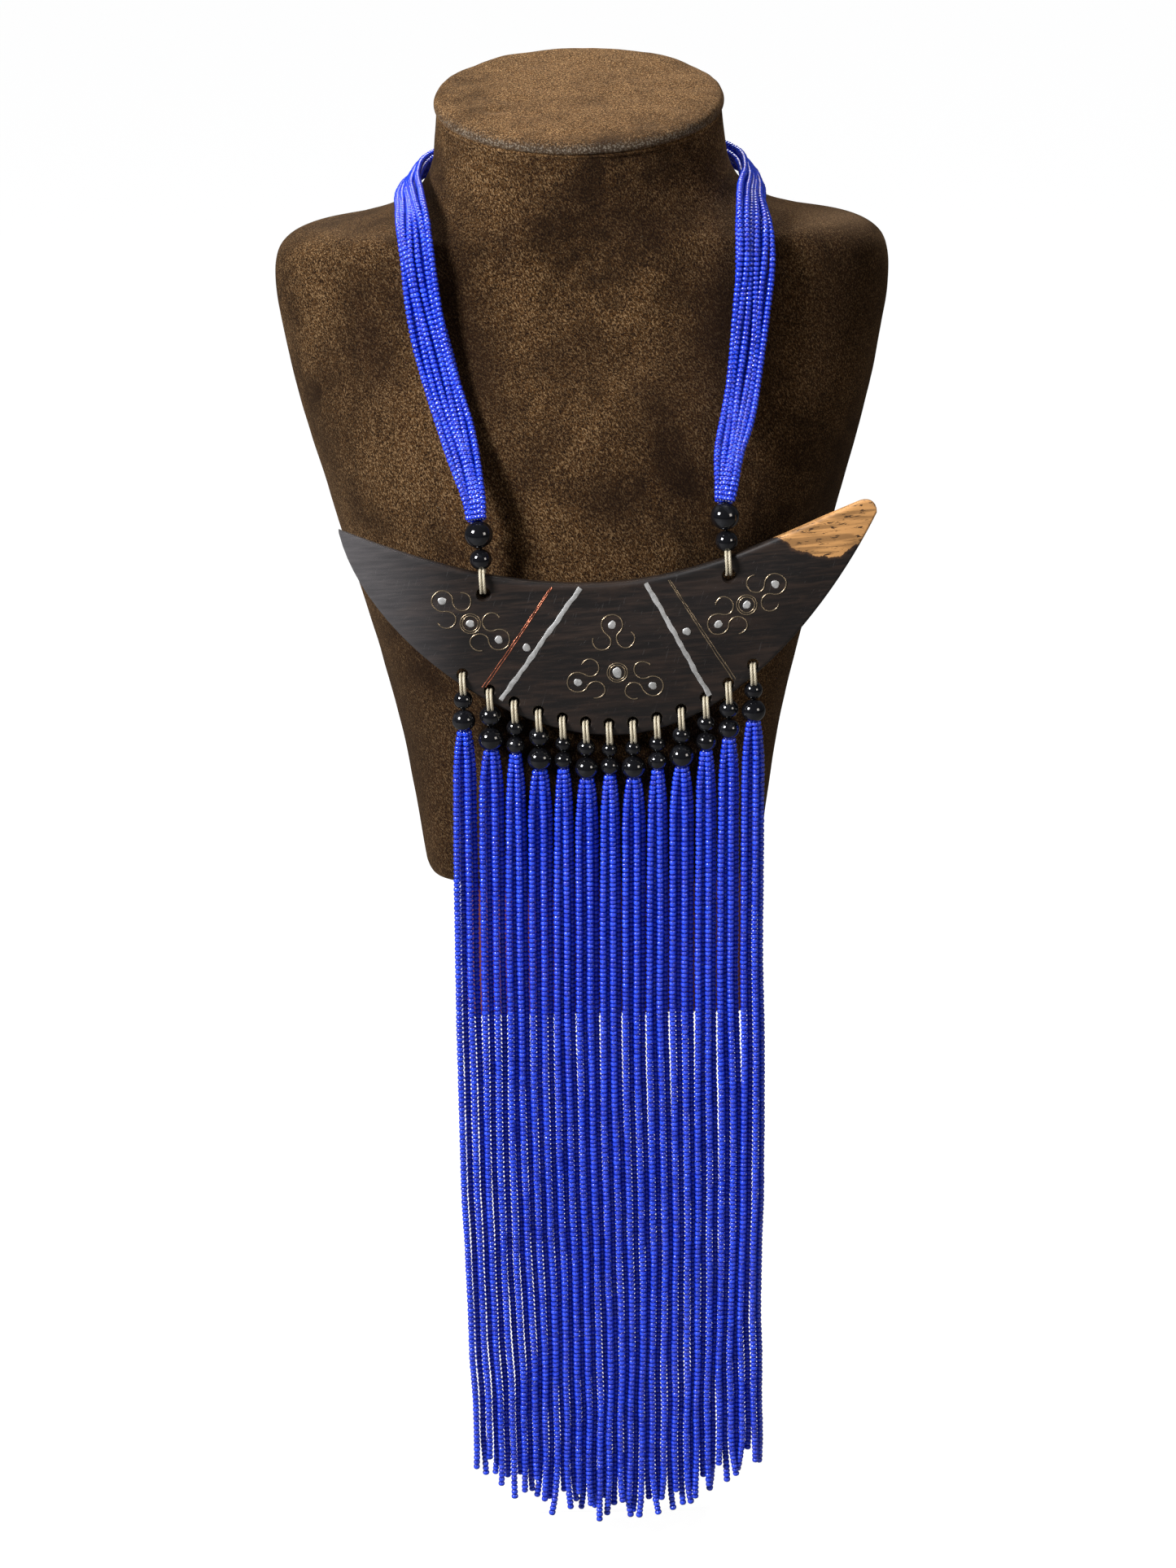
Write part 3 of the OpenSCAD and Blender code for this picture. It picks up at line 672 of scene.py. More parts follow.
def bead_string(name, path, d, pitch, side, seed, around=10):
    """A string of seed beads on its thread along a path in millimetres."""
    rng = np.random.default_rng(seed)
    path = np.asarray(path, float)
    _, long = along_path(path, [0])
    count = max(int(long / pitch), 4)
    tall = rng.uniform(0.86, 1.1, count)
    tall *= (long - 0.2) / tall.sum()
    middles = np.cumsum(tall) - tall / 2 + 0.1
    places, _ = along_path(path, middles)
    sides = np.stack([np.interp(middles, np.linspace(0, long, len(path)),
                                np.broadcast_to(side, path.shape)[:, k]) for k in range(3)], 1)
    ahead = directions(places)
    a = square_to(ahead, sides)
    # each bead sits a little crooked on the thread
    ahead = unit(ahead + rng.normal(0, 0.05, ahead.shape))
    a = square_to(ahead, a)
    b = np.cross(ahead, a)
    outline = np.array(bead_outline(1.0, 1.0))
    turn = round_turn(around)
    ring = np.stack([np.outer(outline[:, 0], np.cos(turn)), np.outer(outline[:, 0], np.sin(turn)),
                     np.repeat(outline[:, 1:], around, 1)], -1).reshape(-1, 3)
    wide = d * rng.uniform(0.93, 1.04, count)
    points = (places[:, None] + ring[None, :, 0:1] * wide[:, None, None] * a[:, None]
              + ring[None, :, 1:2] * wide[:, None, None] * b[:, None]
              + ring[None, :, 2:3] * tall[:, None, None] * ahead[:, None])
    quads = grid_quads(len(outline), around, wrap_rows=True)
    per = len(outline) * around
    faces = (quads[None] + (np.arange(count) * per)[:, None, None]).reshape(-1, 4)
    thread = tube_rings(path[::2], 0.2 * d / 2, 6, (0, 1, 0.01))
    rows = len(thread)
    points = np.concatenate([points.reshape(-1, 3), thread.reshape(-1, 3)])
    faces = np.concatenate([faces, grid_quads(rows, 6) + count * per])
    slots = np.concatenate([np.zeros(count * len(quads)), np.ones((rows - 1) * 6)])
    mesh = quad_mesh(name, points * MM, faces, slots)
    # each bead's own random tone, with painted shade at its rims, where it meets its neighbours, and
    # painted light round its middle
    groove_shade = np.repeat([0, 0.05, 0.35, 0.8, 1, 0.8, 0.35, 0.05, 0], around)
    tone_and_shade = np.concatenate([(rng.uniform(0.45, 1, (count, 1)) * groove_shade).ravel(), np.zeros(rows * 6)])
    give(mesh, "tone_and_shade", tone_and_shade)
    return mesh, long


def fringe_path(i, k, wander):
    """The line of strand k of tassel i, from its large bead down."""
    rng = np.random.default_rng(1000 + 10 * i + k)
    r = LARGE_BEADS[i] / 2
    at = [t["x"] for t in TASSEL]
    room = (at[min(i + 1, TASSELS - 1)] - at[max(i - 1, 0)]) / (2 if 0 < i < TASSELS - 1 else 1)
    middle = (at[min(i + 1, TASSELS - 1)] + at[max(i - 1, 0)]) / 2 if 0 < i < TASSELS - 1 else at[i]
    back = -1.25 if k % 2 == 0 else 1.25
    top = TASSEL[i]["large"] - r * 0.9
    low = TASSEL[i]["large"] - r - FRINGE_LONG - FRINGE_VARY * math.sin(math.radians(137 * (4 * i + k)))
    z = np.concatenate([np.linspace(top, top - 12, 7)[:-1], np.linspace(top - 12, low + 1.0, 50)])
    gone = top - z
    opened = 0.42 + 0.58 * np.clip(gone / 14, 0, 1) ** 0.7
    apart = np.clip((gone - 85) / 50, 0, 1)
    half = (LARGE_BEADS[i] - 2.3) / 2 * opened
    half = half + np.clip(gone / 50, 0, 1) * np.maximum((room - 2.6) / 2 - half, 0)
    half = half + apart * (room * 0.375 - half)
    lower = np.clip((gone - 60) / (FRINGE_LONG - 60), 0, 1)
    wave = wander * (0.15 + 0.5 * lower ** 1.5) * np.clip(gone / 30, 0, 1)
    # neighbours sway nearly together, so that few gaps open between them
    p = 0.42 * (4 * i + k) + rng.uniform(0, 0.8, 6)
    x = (TASSEL[i]["x"] + (middle - TASSEL[i]["x"]) * apart + (2 * k / 3 - 1) * half
         + wave * 0.45 * np.sin(gone / 9.5 + p[0]) + wave * 0.4 * np.sin(gone / 4.6 + p[1]) * lower
         + wave * 0.5 * np.sin(gone / 23 + p[2])
         + wander * 1.2 * lower * np.sin(gone / 31 + 0.35 * i))
    y = (HANG[1] + back * opened + wave * 0.5 * np.sin(gone / 12 + p[3])
         + wave * 0.4 * np.sin(gone / 6 + p[4]) * lower)
    curl = np.clip((gone - (FRINGE_LONG - 16)) / 16, 0, 1.2) ** 2
    x += curl * rng.uniform(-1.6, 1.6) + (6 - i) * 0.26 * lower ** 1.6 - 1.1 * np.clip(gone / 80, 0, 1)
    y += curl * rng.uniform(-1.0, 1.0)
    return np.stack([x, y, z], 1)


def make_fringe(glass):
    """Thirteen tassels of four strands, each strand on its own thread."""
    bead = finish_of("seed", seed_bead_material, glass.colour[:], glass.see_through)
    thread = finish_of("thread", thread_material)
    d, pitch = glass.strand_wide / MM, glass.bead_tall / MM
    for i in range(TASSELS):
        for k in range(STRANDS):
            path = fringe_path(i, k, glass.wander / MM)
            mesh, long = bead_string(f"fringe_{i + 1}_{k + 1}", path, d, pitch, (1, 0, 0), 77 + 4 * i + k)
            piece = add_object(f"fringe_{i + 1}_{k + 1}", mesh, bead, thread)
            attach(piece, f"tassel_{i + 1}")
            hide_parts(f"strands_{i + 1}")


def make_neck_strands(glass):
    """Eleven strands side by side in two layers, from one large bead round the neck to the other."""
    bead = finish_of("seed", seed_bead_material, glass.colour[:], glass.see_through)
    thread = finish_of("thread", thread_material)
    rows = smooth_rows(NECK_ROUTE, 6)
    at, out = rows[:, :3], rows[:, 3:6]
    ahead = directions(at)
    side = unit(np.cross(ahead, out))
    up = np.cross(side, ahead)
    long = np.linspace(0, 1, len(rows))
    for j in range(NECK_STRANDS):
        rng = np.random.default_rng(500 + j)
        front = j < FRONT_STRANDS
        share = (j - 2.5) / 3 if front else (j - 8) / 3
        p = rng.uniform(0, 2 * np.pi, 4)
        drift = 0.07 * np.sin(long * 21 + p[0]) + 0.05 * np.sin(long * 47 + p[1])
        calm = np.clip(np.minimum(long, 1 - long) / 0.06, 0, 1)
        across = (share * (rows[:, 6] - 0.9) + drift * 6 * calm)
        # the bead bundle gathers at each end, where it goes into the large bead
        deep = (rows[:, 7] - 1.15) * (1 if front else -1) * (0.9 + 0.25 * np.sin(long * 17 + p[2]) * calm)
        path = at - across[:, None] * side + deep[:, None] * up
        name = f"neck_strand_{j + 1}"
        mesh, _ = bead_string(name, path, glass.strand_wide / MM, glass.bead_tall / MM, up, 900 + j)
        piece = add_object(name, mesh, bead, thread)
        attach(piece, "necklace")
        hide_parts("neck_strands")


# ---- Cords and black beads --------------------------------------------------------------

def make_cords(cords):
    """Doubled cord loops: one through each fringe hole, and two that carry the crescent."""
    material = finish_of("cord", cord_material, cords.colour[:])
    wide = cords.cord_wide / MM
    for i, place in enumerate(TASSEL):
        centre = (place["x"], place["pivot"])
        mesh = merged(f"cord_loop_{i + 1}", [
            ring_tube(centre, LOOP_R, wide, 64, 12, offset, 0.07) for offset in (-CORD_APART, CORD_APART)])
        piece = add_object(f"cord_loop_{i + 1}", mesh, material)
        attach(piece, f"tassel_{i + 1}")
        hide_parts(f"loop_{i + 1}")
    parts = []
    for side in (-1, 1):
        x, z = placed(side * UPPER_HOLE_U, 0.6 + NECK_LOOP_R)
        parts += [ring_tube((x, z), NECK_LOOP_R, wide, 72, 12, offset, 0.06, SLOPE)
                  for offset in (-CORD_APART, CORD_APART)]
    piece = add_object("neck_cords", merged("neck_cords", parts), material)
    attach(piece, "necklace")
    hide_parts("neck_loops")


def make_black_beads(cords):
    """A small and a large bead over each tassel, and two of each at the ends of the neck strands."""
    material = finish_of("black", black_bead_material, cords.black[:])
    for i, place in enumerate(TASSEL):
        parts = [turned_bead((place["x"], HANG[1], place["small"]), SMALL_BEADS[i], BEAD_BORE, seed=i),
                 turned_bead((place["x"], HANG[1], place["large"]), LARGE_BEADS[i], BEAD_BORE,
                             seed=i + 40)]
        piece = add_object(f"black_beads_{i + 1}", merged(f"black_beads_{i + 1}", parts), material)
        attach(piece, f"tassel_{i + 1}")
        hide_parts(f"beads_{i + 1}")
    low = NECK_BEAD_W
    high = low + (NECK_SMALL_D + NECK_LARGE_D) / 2 + 0.05
    for name, node, w, d in (("neck_bead_small", "neck_beads_small", low, NECK_SMALL_D),
                             ("neck_bead_large", "neck_beads_large", high, NECK_LARGE_D)):
        parts = []
        for side in (-1, 1):
            x, z = placed(side * UPPER_HOLE_U, w)
            parts.append(turned_bead((x, HANG[1], z), d, BEAD_BORE, 34, 56, seed=side * 7 + d))
        piece = add_object(name, merged(name, parts), material)
        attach(piece, "necklace")
        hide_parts(node)


# ---- Crescent and inlay -----------------------------------------------------------------

def hole_cutter(x, z, d, thick):
    """A drill with its ends flared, so that the hole's rims come out softened."""
    r = d / 2
    outline = [(-thick - 2, r + 0.55), (-thick - 0.05, r + 0.4), (-thick + 0.35, r + 0.06),
               (-thick + 0.7, r), (thick - 0.7, r), (thick - 0.35, r + 0.06),
               (thick + 0.05, r + 0.4), (thick + 2, r + 0.55)]
    turn = round_turn(40)
    rings = [[(x + q * math.cos(a), HANG[1] + y, z + q * math.sin(a)) for a in turn]
             for y, q in outline]
    return capped(rings, flip=True)


def make_crescent(pendant):
    """The ebony board with its fifteen holes."""
    stations, steps = 220, 30
    # closer together towards the tips
    spread = END_LEFT + (END_RIGHT - END_LEFT) * (
        1 - np.cos(np.pi * np.arange(stations + 1) / stations)) / 2
    share = (1 - np.cos(np.pi * np.arange(steps + 1) / steps)) / 2
    rings = []
    for u in spread:
        low, high = float(lookup(LOW_CURVE, u)), float(lookup(TOP_CURVE, u))
        w = low + (high - low) * share
        x, z = placed(u, w)
        thick = half_thick(np.full_like(w, u), w)
        hand = np.array([noise.noise(Vector((u / 9, v / 7, 3.0))) for v in w]) * 0.07
        front = np.stack([x, HANG[1] - thick + hand, z], 1)
        behind = np.stack([x, HANG[1] + thick + hand, z], 1)[::-1]
        rings.append(np.concatenate([front, behind]))
    board = bpy.data.objects.new("ebony_crescent", merged("ebony_crescent", [capped(rings)]))
    holes = []
    for side in (-1, 1):
        x, z = placed(side * UPPER_HOLE_U, 0.6)
        holes.append(hole_cutter(x, z, UPPER_HOLE_D, float(half_thick(side * UPPER_HOLE_U, 0.6))))
    for place in TASSEL:
        u, w = on_board(place["x"], place["hole"])
        holes.append(hole_cutter(place["x"], place["hole"], FRINGE_HOLE_D, float(half_thick(u, w))))
    drill = bpy.data.objects.new("drill", merged("drill", holes))
    for o in (board, drill):
        bpy.context.scene.collection.objects.link(o)
    cut = board.modifiers.new("Holes", "BOOLEAN")
    cut.operation, cut.solver, cut.object = "DIFFERENCE", "EXACT", drill
    ready = board.evaluated_get(bpy.context.evaluated_depsgraph_get())
    mesh = bpy.data.meshes.new_from_object(ready)
    board.modifiers.clear()
    bpy.data.objects.remove(drill)
    bpy.data.objects.remove(board)
    co = np.empty(len(mesh.vertices) * 3)
    mesh.vertices.foreach_get("co", co)
    co = co.reshape(-1, 3) / MM
    u, w = on_board(co[:, 0], co[:, 2])
    edge = np.array(SAPWOOD_EDGE)
    limit = np.interp(u + 1.2 * np.sign(co[:, 1] - HANG[1]), edge[:, 0], edge[:, 1])
    inside = np.clip(0.5 + (w - limit) / 9, 0, 1) * (u > 52)
    give(mesh, "sapwood", inside)
    mesh.name = "ebony_crescent"
    material = finish_of("ebony", ebony_material, pendant.dark[:], pendant.brown[:], pendant.sapwood[:])
    piece = add_object("ebony_crescent", mesh, material)
    mesh.set_sharp_from_angle(angle=math.radians(38))
    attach(piece, "pendant")
    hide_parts("crescent")


def strip_part(start, end, wide, seed, proud=0.16, ragged=0.12, steps=70):
    """A strip let into the face, its edges cut by hand, as points and faces."""
    rng = np.random.default_rng(seed)
    a, b = np.array(start, float), np.array(end, float)
    along = (b - a) / np.linalg.norm(b - a)
    aside = np.array([-along[1], along[0]])
    t = np.linspace(0, 1, steps)
    p = rng.uniform(0, 6.28, 6)
    bend = 0.14 * wide * (np.sin(t * 7 + p[0]) * 0.5 + np.sin(t * 17 + p[1]) * 0.25)
    left = wide / 2 * (1 + ragged * np.sin(t * 23 + p[2]) + ragged * np.sin(t * 61 + p[3]))
    right = wide / 2 * (1 + ragged * np.sin(t * 29 + p[4]) + ragged * np.sin(t * 53 + p[5]))
    rings = []
    for i in range(steps):
        c = a + (b - a) * t[i] + aside * bend[i]
        row = []
        for off, rise in (
                (left[i], -0.5), (left[i], 0.6 * proud), (left[i] * 0.82, 0.95 * proud), (0, proud),
                (-right[i] * 0.82, 0.95 * proud), (-right[i], 0.6 * proud), (-right[i], -0.5)):
            u, w = c + aside * off
            x, z = placed(u, w)
            row.append((x, float(face(u, w)) - rise, z))
        rings.append(row)
    return capped(rings, flip=True)


def dot_part(u, w, d, seed, tall=1.0):
    """A slug of silver hammered into its hole, domed and a little out of round."""
    rng = np.random.default_rng(seed)
    turn = round_turn(28)
    p = rng.uniform(0, 6.28, 3)
    r = d / 2 * (1 + 0.07 * np.sin(2 * turn + p[0]) + 0.05 * np.sin(3 * turn + p[1])
                 + 0.03 * np.sin(5 * turn + p[2]))
    rings = []
    for share, rise in ((1.0, -0.5), (1.0, 0.05), (0.93, 0.15), (0.75, 0.21), (0.45, 0.24),
                        (0.15, 0.25)):
        x, z = placed(u + share * r * np.cos(turn), w + tall * share * r * np.sin(turn))
        y = face(u + share * r * np.cos(turn), w + tall * share * r * np.sin(turn)) - rise
        rings.append(np.stack([x, y, z], 1))
    return capped(rings, flip=True)


def wire_part(points, d=WIRE_D, closed=False):
    """Fine wire hammered half its depth into the face along points of the board's plane."""
    pts = np.array(points, float)
    x, z = placed(pts[:, 0], pts[:, 1])
    path = np.stack([x, face(pts[:, 0], pts[:, 1]), z], 1)
    if not closed:
        return capped(tube_rings(path, d / 2, WIRE_SIDES, (0, 1, 0)))
    ahead = unit(np.roll(path, -1, 0) - np.roll(path, 1, 0))
    out = square_to(ahead, (0, 1, 0))
    return closed_loop(swept(path, d / 2, out, np.cross(ahead, out), WIRE_SIDES))


def arc(c, r, start, sweep, steps):
    """Points of an arc, its angles in degrees."""
    a = np.radians(np.linspace(start, start + sweep, steps))
    return [(c[0] + r * math.cos(t), c[1] + r * math.sin(t)) for t in a]


def curled_end(dot, middle, seed):
    """One wire: a curl, a bow round the dot open towards the middle, and another curl."""
    rng = np.random.default_rng(seed)
    way = math.degrees(math.atan2(middle[1] - dot[1], middle[0] - dot[0]))
    half = 38
    line = []
    out = way + half
    c = arc(dot, BOW_R + CURL_R, out, 0, 1)[0]
    line += arc(c, CURL_R, out + 180 + 278, -278, 38)
    line += arc(dot, BOW_R, way + half, 360 - 2 * half, 46)[1:]
    out = way - half
    c = arc(dot, BOW_R + CURL_R, out, 0, 1)[0]
    line += arc(c, CURL_R, out + 180, -262, 36)[1:]
    line = np.array(line)
    t = np.linspace(0, 1, len(line))[:, None]
    p = rng.uniform(0, 6.28, 4)
    return line + 0.09 * np.concatenate([np.sin(t * 19 + p[0]) + np.sin(t * 41 + p[1]) * 0.5,
                                         np.sin(t * 23 + p[2]) + np.sin(t * 37 + p[3]) * 0.5], 1)


def make_inlay(pendant):
    """Silver strips and dots, copper and brass lines, and curled wire, let into the crescent's face."""
    silver = finish_of("silver", metal_material, "Beaten silver", pendant.silver[:], (0.33, 0.33, 0.32),
                       0.42, 0.5)
    copper = finish_of("copper", metal_material, "Copper wire", pendant.copper[:],
                       (0.16, 0.075, 0.05), 0.55)
    brass = finish_of("brass", metal_material, "Brass wire", pendant.brass[:], (0.12, 0.1, 0.075), 0.6)
    pieces = [("inlay_silver_strips", "silver_strips", "silver", silver,
               [strip_part(a, b, STRIP_WIDE, 20 + n) for n, (a, b) in enumerate(SILVER_STRIPS)])]
    lines = []
    for (a, b), seed in ((COPPER_LINE, 30), (BRASS_LINE, 40)):
        for off in (-LINE_APART, LINE_APART):
            lines.append(strip_part((a[0] + off * 0.5, a[1]), (b[0] + off, b[1]), LINE_WIDE,
                                    int(seed + 2 * off + 2), 0.1, 0.2))
    pieces.append(("inlay_copper_lines", "copper_lines", "copper", copper, lines[:2]))
    pieces.append(("inlay_brass_lines", "copper_lines", "copper", brass, lines[2:]))
    dots = LEFT_MOTIF + RIGHT_MOTIF + MIDDLE_MOTIF + LONE_DOTS
    slugs = [dot_part(u, w, DOT_D, 60 + n) for n, (u, w) in enumerate(dots)]
    slugs.append(dot_part(*MIDDLE_DOT, MIDDLE_DOT_D, 59, 1.2))
    pieces.append(("inlay_silver_dots", "silver_dots", "silver", silver, slugs))
    for name, middle, ends in (("left", LEFT_MOTIF[1], [LEFT_MOTIF[0], LEFT_MOTIF[2]]),
                               ("middle", MIDDLE_DOT, MIDDLE_MOTIF),
                               ("right", RIGHT_MOTIF[1], [RIGHT_MOTIF[0], RIGHT_MOTIF[2]])):
        parts = [wire_part(arc(middle, r, 0, 354, 60), RING_WIRE_D, closed=True) for r in RING_RADII]
        parts += [wire_part(curled_end(dot, middle, 80 + n)) for n, dot in enumerate(ends)]
        pieces.append((f"inlay_wire_{name}", f"wire_scrolls_{name}", "brass_wire", brass, parts))
    for name, node, slot, material, parts in pieces:
        piece = add_object(name, merged(name, parts), material)
        piece.data.set_sharp_from_angle(angle=math.radians(50))
        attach(piece, "pendant")
        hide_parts(node)


# ---- Bust -------------------------------------------------------------------------------

def bust_ring(row, count, inset=0.0):
    """One ring of the bust, drawn in by inset."""
    a = round_turn(count)
    e = 2 / row[4]
    x = (row[1] - inset) * np.sign(np.cos(a)) * np.abs(np.cos(a)) ** e
    deep = np.where(np.sin(a) < 0, row[2], row[3]) - inset
    y = deep * np.sign(np.sin(a)) * np.abs(np.sin(a)) ** e
    return np.stack([x, y, row[0] + row[5] * CAP_SLOPE * y], 1)


def bump(x, z, at, size, high, lean=0.0):
    """A soft mound or hollow."""
    c, s = math.cos(lean), math.sin(lean)
    a, b = x - at[0], z - at[1]
    p, q = a * c + b * s, b * c - a * s
    return high * np.exp(-(p / size[0]) ** 2 - (q / size[1]) ** 2)


def relief(x, z):
    """How far the chest's modelling stands out: neck cords, collar bones, the notch between them."""
    return (bump(x, z, (-18, 196), (7, 24), 1.5, 0.45) + bump(x, z, (24, 196), (6, 24), 0.9, -0.5)
            + bump(x, z, (3, 204), (9, 13), -1.6) + bump(x, z, (14, 170), (9, 7), -1.5, 0.3)
            + bump(x, z, (9, 151), (13, 12), 1.6, 0.2) + bump(x, z, (-17, 168), (20, 6.5), 1.2, -0.35)
            + bump(x, z, (34, 171), (18, 5.5), 0.9, 0.25) + bump(x, z, (-12, 186), (6, 9), -0.8)
            + bump(x, z, (30, 146), (7, 12), -0.8))


def make_bust(bust):
    """The velvet bust, its cap and piping, and the finish of the board in its foot."""
    deep, pile, brushed = bust.deep[:], bust.pile[:], bust.brushed[:]
    velvet = finish_of("velvet", velvet_material, "Brown velvet", deep, pile, brushed, 0.16)
    lighter = finish_of("velvet_cap", velvet_material, "Brushed velvet",
                        [c * 1.3 for c in deep], [c * 1.5 for c in pile],
                        [c * 1.5 for c in brushed], 0.22)
    count = 260
    rows = smooth_rows(BUST_ROWS, 9)
    foot = rows[0].copy()
    # the foot is hollow, with a rounded lower edge
    rings = [bust_ring(foot, count, 3.9) + (0, 0, 5)]
    for up, inset in ((0, 3.9), (0, 1.2), (0.5, 0.35), (1.2, 0)):
        rings.append(bust_ring([up, *foot[1:]], count, inset))
    rings += [bust_ring(row, count) for row in rows if row[0] > 2]
    rings = np.array(rings)
    x, y, z = rings[..., 0], rings[..., 1], rings[..., 2]
    front = np.clip(-y / 22, 0, 1) * np.clip((z - 20) / 30, 0, 1)
    out = relief(x, z) * front
    out = np.where(z < 118, np.minimum(out, 0.3), out)
    flat = np.array([noise.noise(Vector(p) / 26) + 0.5 * noise.noise(Vector(p) / 9)
                     for p in rings.reshape(-1, 3)]).reshape(x.shape)
    out = (out + 0.28 * flat) * np.clip(z / 6, 0, 1)
    rings[..., :2] += unit(rings[..., :2]) * out[..., None]
    # painted shade: the velvet is coloured darker beside the throat and round both flanks
    against = np.zeros_like(x)
    for cx, cz, wide, high, lean, much in (
            (-37, 176, 11, 34, 0.3, 0.8), (50, 184, 20, 40, -0.2, 0.9), (20, 214, 24, 9, 0.6, 0.6),
            (90, 190, 26, 44, 0, 0.7), (100, 120, 36, 60, 0, 0.5), (-60, 60, 26, 60, 0, 0.45),
            (-72, 172, 15, 34, 0, 0.6), (-86, 130, 18, 50, 0, 0.4), (8, 128, 11, 15, 0.4, 0.6),
            (-16, 144, 9, 13, -0.4, 0.45), (26, 152, 10, 20, 0.2, 0.5), (-2, 172, 14, 7, 0, 0.4)):
        u = (x - cx + lean * (z - cz)) / wide
        against = np.maximum(against, much * np.exp(-u * u - ((z - cz) / high) ** 2))
    mesh = merged("velvet_bust", [capped(rings)])
    give(mesh, "against", against)
    piece = add_object("velvet_bust", mesh, velvet)
    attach(piece, "bust")
    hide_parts("bust_form")

    top = BUST_ROWS[-1]
    outline = [(-6, 0.2), (-1.4, 0.2), (-1.3, 0.8), (0.1, 1.0), (0.65, 1.4), (0.92, 2.1), (0.95, 2.9),
               (0.75, 3.7), (0.3, 4.4), (-0.5, 4.9), (-1.8, 5.2), (-4, 5.35), (-8, 5.45), (-13, 5.5),
               (-19, 5.55), (-26, 5.6), (-33, 5.6), (-38.5, 5.6)]
    outline = smooth_rows(outline, 4)
    turn = round_turn(count)
    rings, worn = [], []
    for grow, up in outline:
        x, y = (top[1] + grow) * np.cos(turn), (top[2] + grow) * np.sin(turn)
        rings.append(np.stack([x, y, top[0] + up + CAP_SLOPE * y], 1))
        side = math.exp(-((up - 2.8) / 1.5) ** 2) if grow > -1.6 else 0.0
        worn.append(side * np.clip(-np.sin(turn) * 1.5, 0, 1) * 0.85)
    rings, worn = np.array(rings), np.array(worn)
    for row, (grow, up) in zip(rings, outline):
        for p in row:
            lump = (noise.noise(Vector(p) / 13) * 0.5
                    + noise.noise(Vector(p) / 5 + Vector((9, 0, 0))) * 0.22)
            p[2] += lump * min(up / 3, 1)
            p[2] -= 0.9 * math.exp(-((p[0] + 28) / 3.4) ** 2 - ((p[1] + 14) / 2.4) ** 2) * (up > 4.5)
    mesh = merged("velvet_cap", [capped(rings)])
    give(mesh, "worn", worn)
    piece = add_object("velvet_cap", mesh, lighter)
    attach(piece, "bust")
    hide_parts("neck_cap")

    rings = []
    for a in round_turn(300):
        thick = 0.75 * (1 + 0.14 * math.sin(9 * a) + 0.1 * math.sin(23 * a + 1)
                        + 0.06 * math.sin(41 * a))
        cx, cy = math.cos(a), math.sin(a)
        ring = []
        for t in round_turn(14):
            grow, up = -0.4 + thick * math.cos(t), 0.25 + thick * math.sin(t)
            x, y = (top[1] + grow) * cx, (top[2] + grow) * cy
            ring.append((x, y, top[0] + up + CAP_SLOPE * y))
        rings.append(ring)
    piece = add_object("cap_piping_roll", merged("cap_piping_roll", [
        closed_loop(np.array(rings), flip=True)]), lighter)
    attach(piece, "bust")
    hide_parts("cap_piping")

    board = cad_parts["base_board"]
    board.data.materials.clear()
    board.data.materials.append(board_material())


# ---- Camera, lights and floor -----------------------------------------------------------

def soft_light(name, at, target, size, power, colour):
    """A square soft light aimed at a point."""
    data = bpy.data.lights.new(name, "AREA")
    data.size, data.energy, data.color = size, power, colour
    light = bpy.data.objects.new(name, data)
    light.location = at
    light.rotation_euler = (Vector(target) - Vector(at)).to_track_quat("-Z", "Y").to_euler()
    bpy.context.scene.collection.objects.link(light)


